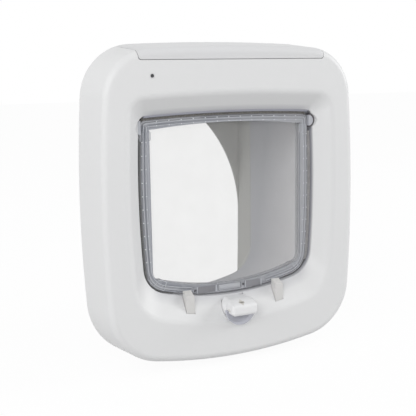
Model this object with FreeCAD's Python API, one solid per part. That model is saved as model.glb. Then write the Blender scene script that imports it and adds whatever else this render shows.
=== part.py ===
import FreeCAD, Part
import math
import os

# Cat flap for a door: a white moulded housing on the room side, a clear swinging flap in its
# funnel-shaped opening, and a two-piece tunnel through the door. Millimetres.
# X is to the right as seen from the room, Y goes into the door, Z is up.
# The origin is the centre of the four door screws, in the plane where the housing meets the door.

# Throat: the opening that the flap hangs in
THROAT_HALF_W = 72.7
THROAT_TOP = 69.3
THROAT_BOTTOM = -68.2
THROAT_SIDE_R = 782.0
THROAT_TOP_R = 1125.0
THROAT_BOTTOM_R = 215.0
THROAT_TOP_CORNER_R = 5.5
THROAT_BOTTOM_CORNER_R = 21.0
WIDEST_Z = 15.0
FUNNEL_DEPTH = 11.0
COLLAR_DEPTH = 14.5
COLLAR_WALL = 2.2

# Funnel: how far its rim on the front face stands outside the throat
FLARE_SIDE = 10.8
FLARE_TOP = 13.1
FLARE_BOTTOM = 17.6
RIM_SIDE_R = 793.0
RIM_TOP_R = 1170.0
RIM_BOTTOM_R = 222.0
RIM_TOP_CORNER_R = 12.0
RIM_BOTTOM_CORNER_R = 27.0
RIM_EDGE_R = 7.0

# Housing: the face outside the rim, and the sides that draw in towards the room
BORDER_SIDE = 18.5
BORDER_TOP = 32.2
BORDER_BOTTOM = 27.6
HOUSING_DEPTH = 40.5
HOUSING_DRAFT = 4.25
SIDE_ARC_R = 1050.0
TOP_ARC_R = 1530.0
BOTTOM_ARC_R = 381.0
TOP_CORNER_R = 39.5
BOTTOM_CORNER_R = 46.0
FRONT_EDGE_R = 5.5
WALL = 2.4
RIB_THICK = 1.6
RIB_HEIGHTS = [-35.0, 25.0]

# Flap: a clear panel held in a clear rail, with brush strips round its edge
SIDE_GAP = 2.7
TOP_GAP = 3.4
BOTTOM_GAP = 1.0
RAIL_W = 7.8
RAIL_THICK = 7.0
RAIL_TOP_W = 5.1
RAIL_BOTTOM_W = 6.9
RAIL_CHAMFER = 0.7
FLAP_SETBACK = 3.0
WINDOW_TOP_R = 540.0
WINDOW_BOTTOM_R = 190.0
WINDOW_TOP_CORNER_R = 3.0
WINDOW_BOTTOM_CORNER_R = 12.0
PANEL_THICK = 2.4
PANEL_LIP = 3.0
GROOVE_CLEAR = 0.15
BRUSH_DEPTH = 4.0
BRUSH_CLEAR = 0.35
BRUSH_SIDE_LOW = 18.2
BRUSH_CORNER_W = 24.0
SNUG = 0.03
HINGE_DROP = 11.1
PIN_R = 2.0
PIN_WALL = 0.6
PIN_CLEAR = 0.06
PIN_END_GAP = 0.3
BUSH_R = 4.8
BUSH_CLEAR = 0.1
BUSH_END_GAP = 0.35
BUSH_DEPTH = 5.5
BUSH_BOSS_WALL = 2.6
EAR_R = 5.0
EAR_IN = 0.2
EAR_RISE = 0.9
EAR_FRONT = 2.0
EAR_CLEAR = 0.45
PLATE_W = 13.6
PLATE_H = 4.8
PLATE_THICK = 1.4
PLATE_X = 19.3
PLATE_RISE = 1.65
PLATE_CLEAR = 0.1
POCKET_W = 20.0

# Tunnel through the door
TUNNEL_SIDE_STEP = 0.5
TUNNEL_TOP_STEP = 0.7
SILL_STEP = 20.3
TUNNEL_SIDE_R = 3000.0
TUNNEL_BOTTOM_R = 200.0
TUNNEL_TOP_CORNER_R = 10.0
TUNNEL_BOTTOM_CORNER_R = 26.0
TUNNEL_WALL = 1.8
TUNNEL_END = 72.0
TUNNEL_RING = 4.0
WEB = 0.8
SLEEVE_OVERLAP = 10.0
SLEEVE_END = 96.0
SLEEVE_GAP = 0.3
SLEEVE_WALL = 1.5
MOUTH_TOP_DROP = 4.0
MOUTH_SIDE_STEP = 0.2
MOUTH_SILL_DROP = 7.0
MOUTH_BOTTOM_R = 600.0
MOUTH_BOTTOM_CORNER_R = 8.0
MOUTH_WEB = 2.0
ARCH_R = 120.0
ARCH_LOW = 67.0

# Latches that rise out of the sill in front of the flap
LATCH_X = 37.4
LATCH_W = 6.4
LATCH_RISE = 7.8
LATCH_NOSE_DROP = 3.2
LATCH_THICK = 6.6
LATCH_SETBACK = 0.4
LATCH_SLOT_CLEAR = 0.4
LATCH_EDGE_R = 0.6
LATCH_CLIP = 1.0
BAR_H = 6.0
BAR_THICK = 4.5
BAR_SETBACK = 0.8
BAR_DROP = 1.3

# Rack and pinion that pull the latches down
GEAR_MODULE = 1.0
PINION_TEETH = 12
PINION_X = 20.0
PINION_W = 6.0
PINION_DROP = 5.7
RACK_W = 5.0
RACK_BACK = 2.4
RACK_TEETH = 6
PINION_ADD = 0.8
RACK_ADD = 0.7
GEAR_DED = 1.0
BACKLASH = 0.2
PRESSURE_DEG = 20.0
MOTOR_SHAFT_R = 1.0
SHAFT_STUB = 1.0
SHAFT_SEAT = 4.0
MOTOR_R = 6.2
MOTOR_LEN = 19.0
MOTOR_GAP = 4.0
MOTOR_NOSE_R = 2.6
MOTOR_EDGE = 1.0
BRACKET_THICK = 2.0
BRACKET_FOOT = 7.0
BRACKET_CLEAR = 1.5

# Four-way lock knob
KNOB_DROP = 8.3
KNOB_W = 20.8
KNOB_UP = 7.7
KNOB_DOWN = 3.3
KNOB_REACH = 11.2
KNOB_BARREL_R = 10.8
KNOB_CORNER_R = 3.0
KNOB_FRONT_R = 2.6
POCKET_R = 11.2
POCKET_DEPTH = 9.0
POCKET_WALL = 2.0
KNOB_CLEAR = 0.8
KNOB_SHAFT_R = 3.0
KNOB_SHAFT_CLEAR = 0.06
CLIP_R = 5.0
CLIP_THICK = 1.0
CLIP_GAP = 0.3
CLIP_GROOVE = 0.8
CLIP_MOUTH = 3.2
CAM_R = 11.9
CAM_THICK = 3.2
CAM_GAP = 0.8

# Battery compartment in the top of the housing
COVER_HALF_W = 73.5
COVER_DROP = 8.9
COVER_FLARE = 0.15
COVER_CORNER_R = 2.0
COVER_GAP = 0.4
COVER_CLEAR = 0.3
COVER_REAR_Y = -0.4
COVER_LIP = 1.4
COVER_LIP_DROP = 3.6
COVER_LIP_RISE = 8.0
COVER_LIP_INSET = 1.0
COVER_LINK_W = 60.0
CELL_R = 7.15
CELL_LEN = 49.2
CELL_NUB_R = 2.7
CELL_NUB = 1.3
CELL_EDGE = 0.5
CELL_DROP = 17.2
CELL_PITCH = 15.0
CELL_ROW_Y = -19.4
CELL_GAP = 0.3
CELL_CLEAR = 0.08
CONTACT_ROOM = 3.0
TRAY_WALL = 1.5
TRAY_RISE = 2.6
TRAY_CORNER_R = 1.2
TRAY_FOOT_X = 34.0
TRAY_FOOT_W = 8.0
SPRING_R = 3.8
SPRING_TIP_R = 2.6
PAD_R = 2.4
PAD_FOOT_R = 3.2
PLATE_METAL = 0.5
CONTACT_W = 10.0
CONTACT_H = 8.8

# Circuit board, light and learn button
LED_X = -64.3
LED_DROP = 19.9
LED_R = 1.2
LED_PROUD = 0.25
LED_SIZE = 4.0
BOARD_THICK = 1.6
BOARD_HALF_W = 72.0
BOARD_FRONT_Y = -36.5
BOARD_REAR_Y = -9.0
CHIP_SIZE = 10.0
RELAY_H = 7.0
CAP_R = 3.0
SWITCH_MARGIN = 5.5
SWITCH_GAP = 3.0
SWITCH_FLOOR = 2.5
BUTTON_X = 66.5
BUTTON_R = 3.0
BUTTON_H = 6.4
BUTTON_TRAVEL = 1.5
BUTTON_CLEAR = 0.3
BUTTON_EDGE = 0.7

# Fixings
DOOR_SCREW_GAP = 4.0
DOOR_SCREW_Z = 67.0
DOOR_HOLE_R = 2.1
DOOR_HOLE_DEPTH = 12.0
DOOR_BOSS_R = 5.0
POST_TOP_IN = (16.3, 30.6)
POST_SIDE_IN = 10.3
POST_LOW = (1.2, 6.5)
POST_R = 3.6
POST_BORE_R = 1.25
SCREW_R = 1.2
SCREW_HEAD_R = 2.8
SCREW_HEAD_H = 1.2
SCREW_LEN = 11.0
SCREW_SINK = 0.2
SCREW_SLOT_W = 0.6
MAGNET_W = 12.0
MAGNET_H = 4.0
MAGNET_D = 6.0
MAGNET_PAD = 1.0

# Worked out from the sizes above
RIM_HALF_W = THROAT_HALF_W + FLARE_SIDE
RIM_TOP = THROAT_TOP + FLARE_TOP
RIM_BOTTOM = THROAT_BOTTOM - FLARE_BOTTOM
REAR_HALF_W = RIM_HALF_W + BORDER_SIDE + HOUSING_DRAFT
REAR_TOP = RIM_TOP + BORDER_TOP + HOUSING_DRAFT
REAR_BOTTOM = RIM_BOTTOM - BORDER_BOTTOM - HOUSING_DRAFT
FRONT_Y = -HOUSING_DEPTH
THROAT_Y = FRONT_Y + FUNNEL_DEPTH
COLLAR_END_Y = THROAT_Y + COLLAR_DEPTH
FLAP_FRONT_Y = THROAT_Y + FLAP_SETBACK
FLAP_BACK_Y = FLAP_FRONT_Y + RAIL_THICK
HINGE_Y = (FLAP_FRONT_Y + FLAP_BACK_Y) / 2
HINGE_Z = THROAT_TOP - HINGE_DROP
TUNNEL_HALF_W = THROAT_HALF_W + TUNNEL_SIDE_STEP
TUNNEL_TOP = THROAT_TOP + TUNNEL_TOP_STEP
TUNNEL_BOTTOM = THROAT_BOTTOM - SILL_STEP
TUNNEL_OUT = TUNNEL_WALL + TUNNEL_RING
COVER_Z = REAR_TOP - HOUSING_DRAFT - COVER_DROP
CELL_Z = REAR_TOP - CELL_DROP
LED_Z = REAR_TOP - HOUSING_DRAFT - LED_DROP
TRAY_LOW = CELL_Z - CELL_R - CELL_CLEAR - TRAY_WALL
TRAY_TOP = CELL_Z + TRAY_RISE
TRAY_HALF_W = CELL_LEN + CELL_NUB + CONTACT_ROOM + TRAY_WALL
BUTTON_LOW = TRAY_LOW + SWITCH_FLOOR + BUTTON_TRAVEL + BUTTON_CLEAR
BUTTON_TOP = BUTTON_LOW + BUTTON_H
KNOB_Z = THROAT_BOTTOM - KNOB_DROP
KNOB_FRONT_Y = FRONT_Y - KNOB_REACH
POCKET_FLOOR_Y = FRONT_Y + POCKET_DEPTH
CLIP_Y = POCKET_FLOOR_Y + POCKET_WALL + CLIP_GAP
LATCH_TOP = THROAT_BOTTOM + LATCH_RISE
LATCH_NOSE = LATCH_TOP - LATCH_NOSE_DROP
LATCH_REAR_Y = THROAT_Y - LATCH_SETBACK
LATCH_FRONT_Y = LATCH_REAR_Y - LATCH_THICK
BAR_TOP = KNOB_Z - POCKET_R - POCKET_WALL - BAR_DROP
BAR_BACK_Y = LATCH_FRONT_Y + BAR_THICK
PINION_Z = BAR_TOP - PINION_DROP
PITCH_R = GEAR_MODULE * PINION_TEETH / 2
PITCH = math.pi * GEAR_MODULE
RACK_PITCH_Y = BAR_BACK_Y + RACK_BACK + GEAR_DED
PINION_Y = RACK_PITCH_Y + PITCH_R
MOTOR_X = PINION_X + PINION_W / 2 + MOTOR_GAP
MAGNET_TOP = THROAT_BOTTOM - COLLAR_WALL - MAGNET_PAD
DOOR_SCREW_X = TUNNEL_HALF_W + TUNNEL_OUT + DOOR_SCREW_GAP + DOOR_BOSS_R
POSTS = [(REAR_HALF_W - POST_TOP_IN[0], REAR_TOP - POST_TOP_IN[1]),
         (REAR_HALF_W - POST_SIDE_IN, 0.0),
         (TUNNEL_HALF_W - POST_LOW[0], TUNNEL_BOTTOM - TUNNEL_OUT - POST_LOW[1])]
FAR = 400.0


def vec(x, y, z):
    return FreeCAD.Vector(x, y, z)


def box(x0, x1, y0, y1, z0, z1):
    return Part.makeBox(x1 - x0, y1 - y0, z1 - z0, vec(x0, y0, z0))


def rod_x(r, x0, x1, y, z):
    return Part.makeCylinder(r, x1 - x0, vec(x0, y, z), vec(1, 0, 0))


def rod_y(r, y0, y1, x, z):
    return Part.makeCylinder(r, y1 - y0, vec(x, y0, z), vec(0, 1, 0))


def rod_z(r, z0, z1, x, y):
    return Part.makeCylinder(r, z1 - z0, vec(x, y, z0), vec(0, 0, 1))


def fuse(shapes):
    whole = shapes[0]
    for s in shapes[1:]:
        whole = whole.fuse(s)
    return whole.removeSplitter()


def mirror_x(shape):
    return shape.mirror(vec(0, 0, 0), vec(1, 0, 0))


def polygon_x(points, x0, x1):
    """Solid from (y, z) points, from x0 to x1."""
    ring = [vec(x0, y, z) for y, z in points]
    return Part.Face(Part.makePolygon(ring + ring[:1])).extrude(vec(x1 - x0, 0, 0))


def polygon_y(points, y0, y1):
    """Solid from (x, z) points, from y0 to y1."""
    ring = [vec(x, y0, z) for x, z in points]
    return Part.Face(Part.makePolygon(ring + ring[:1])).extrude(vec(0, y1 - y0, 0))


class Outline:
    """Soft rectangle in a plane across Y: four long arcs joined by tangent corner arcs."""

    def __init__(self, half_w, top, bottom, side_r, top_r, bottom_r, top_corner, bottom_corner, widest):
        self.half_w, self.top, self.bottom = half_w, top, bottom
        self.side_r, self.top_r, self.bottom_r = side_r, top_r, bottom_r
        self.top_corner, self.bottom_corner, self.widest = top_corner, bottom_corner, widest

    def grow(self, d):
        """The parallel outline, d further out all round."""
        return Outline(self.half_w + d, self.top + d, self.bottom - d, self.side_r + d,
                       self.top_r + d, self.bottom_r + d, self.top_corner + d,
                       self.bottom_corner + d, self.widest)

    def corner_centre(self, arc_z, arc_r, corner_r, sign):
        """Centre of the corner arc that touches the side arc and the top or bottom arc."""
        side_x = self.half_w - self.side_r
        d1, d2 = self.side_r - corner_r, arc_r - corner_r
        dx, dz = -side_x, arc_z - self.widest
        d = math.hypot(dx, dz)
        along = (d1 * d1 - d2 * d2 + d * d) / (2 * d)
        across = math.sqrt(d1 * d1 - along * along)
        ex, ez = dx / d, dz / d
        ends = [(side_x + ex * along - s * ez * across, self.widest + ez * along + s * ex * across)
                for s in (1, -1)]
        return max(ends, key=lambda c: sign * c[1])

    def arcs(self):
        """Centre, radius, start and end angle of the arcs of the right half, top to bottom."""
        top = (0.0, self.top - self.top_r)
        low = (0.0, self.bottom + self.bottom_r)
        side = (self.half_w - self.side_r, self.widest)
        c1 = self.corner_centre(top[1], self.top_r, self.top_corner, 1)
        c2 = self.corner_centre(low[1], self.bottom_r, self.bottom_corner, -1)

        def turn(a, b):
            return math.atan2(b[1] - a[1], b[0] - a[0])

        a1, a2 = turn(top, c1), turn(side, c1)
        a3, a4 = turn(side, c2), turn(low, c2)
        return [(top, self.top_r, math.pi / 2, a1), (c1, self.top_corner, a1, a2),
                (side, self.side_r, a2, a3), (c2, self.bottom_corner, a3, a4),
                (low, self.bottom_r, a4, -math.pi / 2)]

    def wire(self, y):
        def at(c, r, t, sx):
            return vec(sx * (c[0] + r * math.cos(t)), y, c[1] + r * math.sin(t))

        right = [[at(c, r, t, 1) for t in (t0, (t0 + t1) / 2, t1)] for c, r, t0, t1 in self.arcs()]
        left = [[vec(-p.x, p.y, p.z) for p in reversed(arc)] for arc in reversed(right)]
        return Part.Wire([Part.Arc(*arc).toShape() for arc in right + left])

    def prism(self, y0, y1):
        return Part.Face(self.wire(y0)).extrude(vec(0, y1 - y0, 0))


def loft(outline0, y0, outline1, y1):
    return Part.makeLoft([outline0.wire(y0), outline1.wire(y1)], True, True)


def ring(outline, wall, y0, y1):
    """Tube whose inner face is the outline."""
    return outline.grow(wall).prism(y0, y1).cut(outline.prism(y0 - 1, y1 + 1))


REAR_OUTLINE = Outline(REAR_HALF_W, REAR_TOP, REAR_BOTTOM, SIDE_ARC_R, TOP_ARC_R,
                       BOTTOM_ARC_R, TOP_CORNER_R, BOTTOM_CORNER_R, 0.0)
RIM = Outline(RIM_HALF_W, RIM_TOP, RIM_BOTTOM, RIM_SIDE_R, RIM_TOP_R, RIM_BOTTOM_R,
              RIM_TOP_CORNER_R, RIM_BOTTOM_CORNER_R, WIDEST_Z)
THROAT = Outline(THROAT_HALF_W, THROAT_TOP, THROAT_BOTTOM, THROAT_SIDE_R, THROAT_TOP_R,
                 THROAT_BOTTOM_R, THROAT_TOP_CORNER_R, THROAT_BOTTOM_CORNER_R, WIDEST_Z)
FLAP = Outline(THROAT_HALF_W - SIDE_GAP, THROAT_TOP - TOP_GAP, THROAT_BOTTOM + BOTTOM_GAP,
               THROAT_SIDE_R - SIDE_GAP, THROAT_TOP_R - TOP_GAP, THROAT_BOTTOM_R - BOTTOM_GAP,
               THROAT_TOP_CORNER_R - BOTTOM_GAP, THROAT_BOTTOM_CORNER_R - SIDE_GAP, WIDEST_Z)
WINDOW = Outline(FLAP.half_w - RAIL_W, FLAP.top - RAIL_TOP_W, FLAP.bottom + RAIL_BOTTOM_W,
                 FLAP.side_r - RAIL_W, WINDOW_TOP_R, WINDOW_BOTTOM_R, WINDOW_TOP_CORNER_R,
                 WINDOW_BOTTOM_CORNER_R, WIDEST_Z)
TUNNEL = Outline(TUNNEL_HALF_W, TUNNEL_TOP, TUNNEL_BOTTOM, TUNNEL_SIDE_R, THROAT_TOP_R,
                 TUNNEL_BOTTOM_R, TUNNEL_TOP_CORNER_R, TUNNEL_BOTTOM_CORNER_R, 0.0)
MOUTH = Outline(TUNNEL_HALF_W - MOUTH_SIDE_STEP, TUNNEL_TOP - MOUTH_TOP_DROP,
                TUNNEL_BOTTOM - MOUTH_SILL_DROP, TUNNEL_SIDE_R, THROAT_TOP_R, MOUTH_BOTTOM_R,
                TUNNEL_TOP_CORNER_R, MOUTH_BOTTOM_CORNER_R, 0.0)


def housing_form(inset):
    """Closed form of the housing, drawn in by inset all round and at the front."""
    front = REAR_OUTLINE.grow(-HOUSING_DRAFT - inset)
    return loft(REAR_OUTLINE.grow(-inset), 0.0, front, FRONT_Y + inset)


def front_edges(body, y):
    return [e for e in body.Edges if abs(e.BoundBox.YMax - y) < 0.01]


def housing_outside():
    body = housing_form(0.0)
    return body.makeFillet(FRONT_EDGE_R, front_edges(body, FRONT_Y))


def housing_inside(inset):
    """The hollow, with a bevel that keeps the wall inside the rounded front edge."""
    body = housing_form(inset)
    return body.makeChamfer(FRONT_EDGE_R - WALL / 2, front_edges(body, FRONT_Y + inset))


def cover_region(gap, rear_y):
    """Block that holds the battery cover, larger by gap on its three seams, back to rear_y."""
    half, low = COVER_HALF_W + gap, COVER_Z - gap
    rise = REAR_TOP + 10 - low
    out = half + COVER_FLARE * rise
    block = polygon_y([(-half, low), (half, low), (out, low + rise), (-out, low + rise)],
                      FRONT_Y - 10, rear_y)
    corners = [e for e in block.Edges
               if e.BoundBox.ZMax - low < 0.01 and e.BoundBox.XLength < 0.01]
    return block.makeFillet(COVER_CORNER_R, corners)


def funnel_opening():
    slope = loft(RIM, FRONT_Y, THROAT, THROAT_Y)
    return fuse([RIM.prism(FRONT_Y - 10, FRONT_Y), slope, THROAT.prism(THROAT_Y, COLLAR_END_Y + 1)])


def funnel_wall():
    slope = loft(RIM.grow(WALL), FRONT_Y + 0.5, THROAT.grow(COLLAR_WALL), THROAT_Y + WALL)
    collar = THROAT.grow(COLLAR_WALL).prism(THROAT_Y + WALL, COLLAR_END_Y)
    return slope.fuse(collar)


def hinge_side_x():
    """Where the throat's side wall stands at the height of the hinge."""
    rise = HINGE_Z - WIDEST_Z
    return THROAT_HALF_W - THROAT_SIDE_R + math.sqrt(THROAT_SIDE_R ** 2 - rise ** 2)


def flap_side_x():
    return hinge_side_x() - SIDE_GAP


def pin_end_x():
    """Where a hinge pin ends inside the flap's rail, a wall away from the panel's groove."""
    return flap_side_x() - RAIL_W + PANEL_LIP + GROOVE_CLEAR + PIN_WALL


def bush_end_x():
    return hinge_side_x() + BUSH_DEPTH


def hinge_ear(gap, y0):
    """Round ear beside the flap's top corner, seen from the front, grown by gap."""
    return rod_y(EAR_R + gap, y0, HINGE_Y + gap, flap_side_x() - EAR_IN, HINGE_Z + EAR_RISE)


def both(shape):
    return [shape, mirror_x(shape)]


def latch_slots():
    half = LATCH_W / 2 + LATCH_SLOT_CLEAR
    slot = box(LATCH_X - half, LATCH_X + half, LATCH_FRONT_Y - LATCH_SLOT_CLEAR,
               LATCH_REAR_Y + LATCH_SLOT_CLEAR, BAR_TOP, LATCH_TOP + 1)
    return both(slot)


def screw_places():
    return [(sx * x, z) for x, z in POSTS for sx in (1, -1)]


def door_screw_places():
    return [(sx * DOOR_SCREW_X, sz * DOOR_SCREW_Z) for sx in (1, -1) for sz in (1, -1)]


def hinge_boss():
    return rod_x(BUSH_R + BUSH_BOSS_WALL, hinge_side_x() - COLLAR_WALL, bush_end_x() + WALL, HINGE_Y, HINGE_Z)


def front_housing():
    """Moulded shell with its funnel, throat collar, knob pocket, hinge bosses, posts and ribs."""
    skin = housing_outside()
    body = skin.cut(housing_inside(WALL).fuse(REAR_OUTLINE.grow(-WALL).prism(0.0, 1.0)))
    pocket_boss = rod_y(POCKET_R + POCKET_WALL, FRONT_Y + 1, POCKET_FLOOR_Y + POCKET_WALL, 0, KNOB_Z)
    posts = [rod_y(POST_R, FRONT_Y + 1, -WALL, x, z) for x, z in screw_places()]
    pads = both(box(PLATE_X - MAGNET_W / 2 - MAGNET_PAD, PLATE_X + MAGNET_W / 2 + MAGNET_PAD,
                    FLAP_FRONT_Y, COLLAR_END_Y - MAGNET_PAD, MAGNET_TOP, THROAT_BOTTOM))
    inside = fuse([funnel_wall(), pocket_boss] + both(hinge_boss()) + posts + pads + housing_ribs())
    body = body.fuse(inside.common(skin)).cut(funnel_opening()).removeSplitter()
    rim = [e for e in body.Edges if abs(e.BoundBox.YMin - FRONT_Y) < 0.01 and e.BoundBox.YLength < 0.01
           and abs(e.CenterOfMass.x) < RIM_HALF_W + 1 and RIM_BOTTOM - 1 < e.CenterOfMass.z < RIM_TOP + 1]
    body = body.makeFillet(RIM_EDGE_R, rim)
    seat = rod_x(BUSH_R + BUSH_CLEAR, hinge_side_x() - SIDE_GAP, bush_end_x() + BUSH_CLEAR, HINGE_Y, HINGE_Z)
    notch = hinge_ear(EAR_CLEAR, FRONT_Y)
    tools = both(seat) + both(notch) + latch_slots()
    tools.append(rod_y(POCKET_R, FRONT_Y - 5, POCKET_FLOOR_Y, 0, KNOB_Z))
    tools.append(rod_y(KNOB_SHAFT_R + KNOB_SHAFT_CLEAR, FRONT_Y, 0, 0, KNOB_Z))
    tools.append(rod_y(CLIP_R + 2 * CLIP_GAP, CLIP_Y - CLIP_GAP, CLIP_Y + CLIP_THICK + 1, 0, KNOB_Z))
    tools += [rod_y(POST_BORE_R, -WALL - SCREW_LEN, 1, x, z) for x, z in screw_places()]
    tools.append(cover_region(COVER_GAP, 1.0))
    tools.append(rod_y(LED_R + BUSH_CLEAR, FRONT_Y - 5, FRONT_Y + WALL + 1, LED_X, LED_Z))
    for tool in tools:
        body = body.cut(tool)
    return body.removeSplitter()


def housing_ribs():
    """Stiffening ribs from the funnel wall out to the side walls."""
    ribs = []
    for z in RIB_HEIGHTS:
        ribs += both(box(THROAT_HALF_W, REAR_HALF_W, FRONT_Y + 1, COLLAR_END_Y, z, z + RIB_THICK))
    return ribs


def rear_cover():
    """Plate that closes the housing's back, with a boss for each door screw."""
    plate = REAR_OUTLINE.grow(-WALL - COVER_CLEAR).prism(-WALL, 0.0)
    places = door_screw_places()
    bosses = [rod_y(DOOR_BOSS_R, -DOOR_HOLE_DEPTH - WALL, -WALL / 2, x, z) for x, z in places]
    cover = fuse([plate] + bosses)
    cover = cover.cut(TUNNEL.grow(TUNNEL_WALL + COVER_CLEAR).prism(-WALL - 1, 1))
    for x, z in places:
        cover = cover.cut(rod_y(DOOR_HOLE_R, -DOOR_HOLE_DEPTH, 1, x, z))
    for x, z in screw_places():
        cover = cover.cut(rod_y(SCREW_R + COVER_CLEAR, -WALL - 1, 1, x, z))
        cover = cover.cut(rod_y(SCREW_HEAD_R + COVER_CLEAR, -SCREW_HEAD_H - SCREW_SINK, 1, x, z))
    return cover


def cover_screws():
    screws = []
    seat = -SCREW_HEAD_H - SCREW_SINK
    for x, z in screw_places():
        head = Part.makeCone(SCREW_HEAD_R, SCREW_HEAD_R - 0.5, SCREW_HEAD_H, vec(x, seat, z), vec(0, 1, 0))
        shank = rod_y(SCREW_R, -WALL - SCREW_LEN + 1, seat, x, z)
        slot = box(x - SCREW_HEAD_R, x + SCREW_HEAD_R, -SCREW_SINK - SCREW_SLOT_W, 0.1,
                   z - SCREW_SLOT_W / 2, z + SCREW_SLOT_W / 2)
        screws.append(head.fuse(shank).cut(slot))
    return Part.makeCompound(screws)


def inner_tunnel():
    tube = ring(TUNNEL, TUNNEL_WALL, COLLAR_END_Y, TUNNEL_END)
    step = TUNNEL.grow(TUNNEL_WALL).prism(COLLAR_END_Y, COLLAR_END_Y + TUNNEL_WALL)
    step = step.cut(THROAT.grow(TUNNEL_SIDE_STEP).prism(COLLAR_END_Y - 1, COLLAR_END_Y + TUNNEL_WALL + 1))
    stop = ring(TUNNEL, TUNNEL_OUT, -WALL - TUNNEL_WALL, -WALL)
    return fuse([tube, step, stop])


def mouth_opening(y0, y1):
    """Way out at the tunnel's end: straight sides that lean in to an arch above."""
    whole = MOUTH.prism(y0, y1)
    spring = MOUTH.bottom + ARCH_LOW
    lean = MOUTH.half_w - ARCH_R
    above = box(-FAR, FAR, y0, y1, spring, FAR)
    arch = above
    for sx in (1, -1):
        arch = arch.common(rod_y(ARCH_R, y0, y1, sx * lean, spring))
    return whole.cut(above.cut(arch))


def outer_tunnel():
    """Sleeve over the inner tunnel's end, with an arched web across its own end."""
    start, joint = TUNNEL_END - SLEEVE_OVERLAP, TUNNEL_END + SLEEVE_GAP
    outside = TUNNEL.grow(TUNNEL_WALL + SLEEVE_GAP + SLEEVE_WALL)
    body = outside.prism(start, joint).fuse(loft(outside, joint, MOUTH.grow(SLEEVE_WALL), SLEEVE_END))
    socket = TUNNEL.grow(TUNNEL_WALL + SLEEVE_GAP).prism(start - 1, joint)
    bore = loft(TUNNEL, joint, MOUTH, SLEEVE_END - MOUTH_WEB)
    return body.cut(socket).cut(bore).cut(mouth_opening(SLEEVE_END - MOUTH_WEB, SLEEVE_END))


def antenna_former():
    """Channel round the tunnel, behind the flap, that the antenna is wound in."""
    base = TUNNEL.grow(TUNNEL_WALL)
    y0, y1 = antenna_span()
    web = ring(base, WEB, y0, y1)
    cheeks = [ring(base, TUNNEL_RING, y0, y0 + WEB), ring(base, TUNNEL_RING, y1 - WEB, y1)]
    return fuse([web] + cheeks)


def antenna_span():
    return COLLAR_END_Y + TUNNEL_WALL + CELL_GAP, -WALL - TUNNEL_WALL - CELL_GAP


def antenna_coil():
    y0, y1 = antenna_span()
    return ring(TUNNEL.grow(TUNNEL_WALL + WEB + SNUG), TUNNEL_RING - 2 * WEB, y0 + WEB, y1 - WEB)


def flap_rail():
    rail = FLAP.prism(FLAP_FRONT_Y, FLAP_BACK_Y)
    edges = [e for e in rail.Edges if e.BoundBox.YLength < 0.01]
    rail = rail.makeChamfer(RAIL_CHAMFER, edges).cut(WINDOW.prism(FLAP_FRONT_Y - 1, FLAP_BACK_Y + 1))
    half = PANEL_THICK / 2 + GROOVE_CLEAR
    rail = rail.cut(WINDOW.grow(PANEL_LIP + GROOVE_CLEAR).prism(HINGE_Y - half, HINGE_Y + half))
    for sx in (1, -1):
        x0, x1 = sorted((sx * (flap_side_x() + 1), sx * pin_end_x()))
        rail = rail.cut(rod_x(PIN_R + SNUG, x0, x1, HINGE_Y, HINGE_Z))
        rail = rail.cut(plate_block(sx, PLATE_CLEAR, 1.0))
    low = plate_low()
    rail = rail.cut(box(-POCKET_W / 2, POCKET_W / 2, FLAP_FRONT_Y - 1, FLAP_FRONT_Y + PLATE_THICK,
                        low, low + PLATE_H))
    return rail


def plate_low():
    """Lowest height of the strike plates, in the middle of the flap's bottom rail."""
    return FLAP.bottom + PLATE_RISE


def plate_block(sx, margin, proud):
    x, low = sx * PLATE_X, plate_low()
    half = PLATE_W / 2 + margin
    return box(x - half, x + half, FLAP_FRONT_Y - proud, FLAP_FRONT_Y + PLATE_THICK,
               low - margin, low + PLATE_H + margin)


def flap_panel():
    return WINDOW.grow(PANEL_LIP).prism(HINGE_Y - PANEL_THICK / 2, HINGE_Y + PANEL_THICK / 2)


def strike_plate(sx):
    return plate_block(sx, 0.0, -PLATE_CLEAR)


def hinge_pin(sx):
    x0, x1 = sorted((sx * (bush_end_x() - PIN_END_GAP), sx * pin_end_x()))
    return rod_x(PIN_R, x0, x1, HINGE_Y, HINGE_Z)


def hinge_bush(sx):
    """Clear bearing for a hinge pin, with the ear that shows in the throat's wall."""
    x0, x1 = flap_side_x() + BUSH_END_GAP, bush_end_x()
    bush = rod_x(BUSH_R, x0, x1, HINGE_Y, HINGE_Z)
    bush = bush.makeChamfer(BUSH_END_GAP, [e for e in bush.Edges if e.BoundBox.XLength < 0.01])
    ear = hinge_ear(0.0, FLAP_FRONT_Y - EAR_FRONT).cut(box(-FAR, x0, -FAR, FAR, -FAR, FAR))
    bush = bush.fuse(ear).cut(rod_x(PIN_R + PIN_CLEAR, x0 - 1, x1 + 1, HINGE_Y, HINGE_Z))
    return bush if sx > 0 else mirror_x(bush)


def brush_ring():
    y0 = HINGE_Y - BRUSH_DEPTH / 2
    return THROAT.grow(-BRUSH_CLEAR).prism(y0, y0 + BRUSH_DEPTH).cut(
        FLAP.grow(SNUG).prism(y0 - 1, y0 + BRUSH_DEPTH + 1))


def brush(x0, x1, z0, z1):
    return brush_ring().common(box(x0, x1, -FAR, FAR, z0, z1))


def latch(sx):
    """Upright tongue with a sloping top, notched to clip on to the bar."""
    low = BAR_TOP - BAR_H
    side = [(LATCH_FRONT_Y, low), (LATCH_FRONT_Y, LATCH_NOSE), (LATCH_REAR_Y, LATCH_TOP),
            (LATCH_REAR_Y, BAR_TOP + LATCH_CLIP), (BAR_BACK_Y, BAR_TOP - LATCH_CLIP), (BAR_BACK_Y, low)]
    x = sx * LATCH_X
    finger = polygon_x(side, x - LATCH_W / 2, x + LATCH_W / 2)
    nose = [e for e in finger.Edges if e.BoundBox.ZMin > LATCH_NOSE - 1]
    return finger.makeFillet(LATCH_EDGE_R, nose).cut(bar_block())


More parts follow.
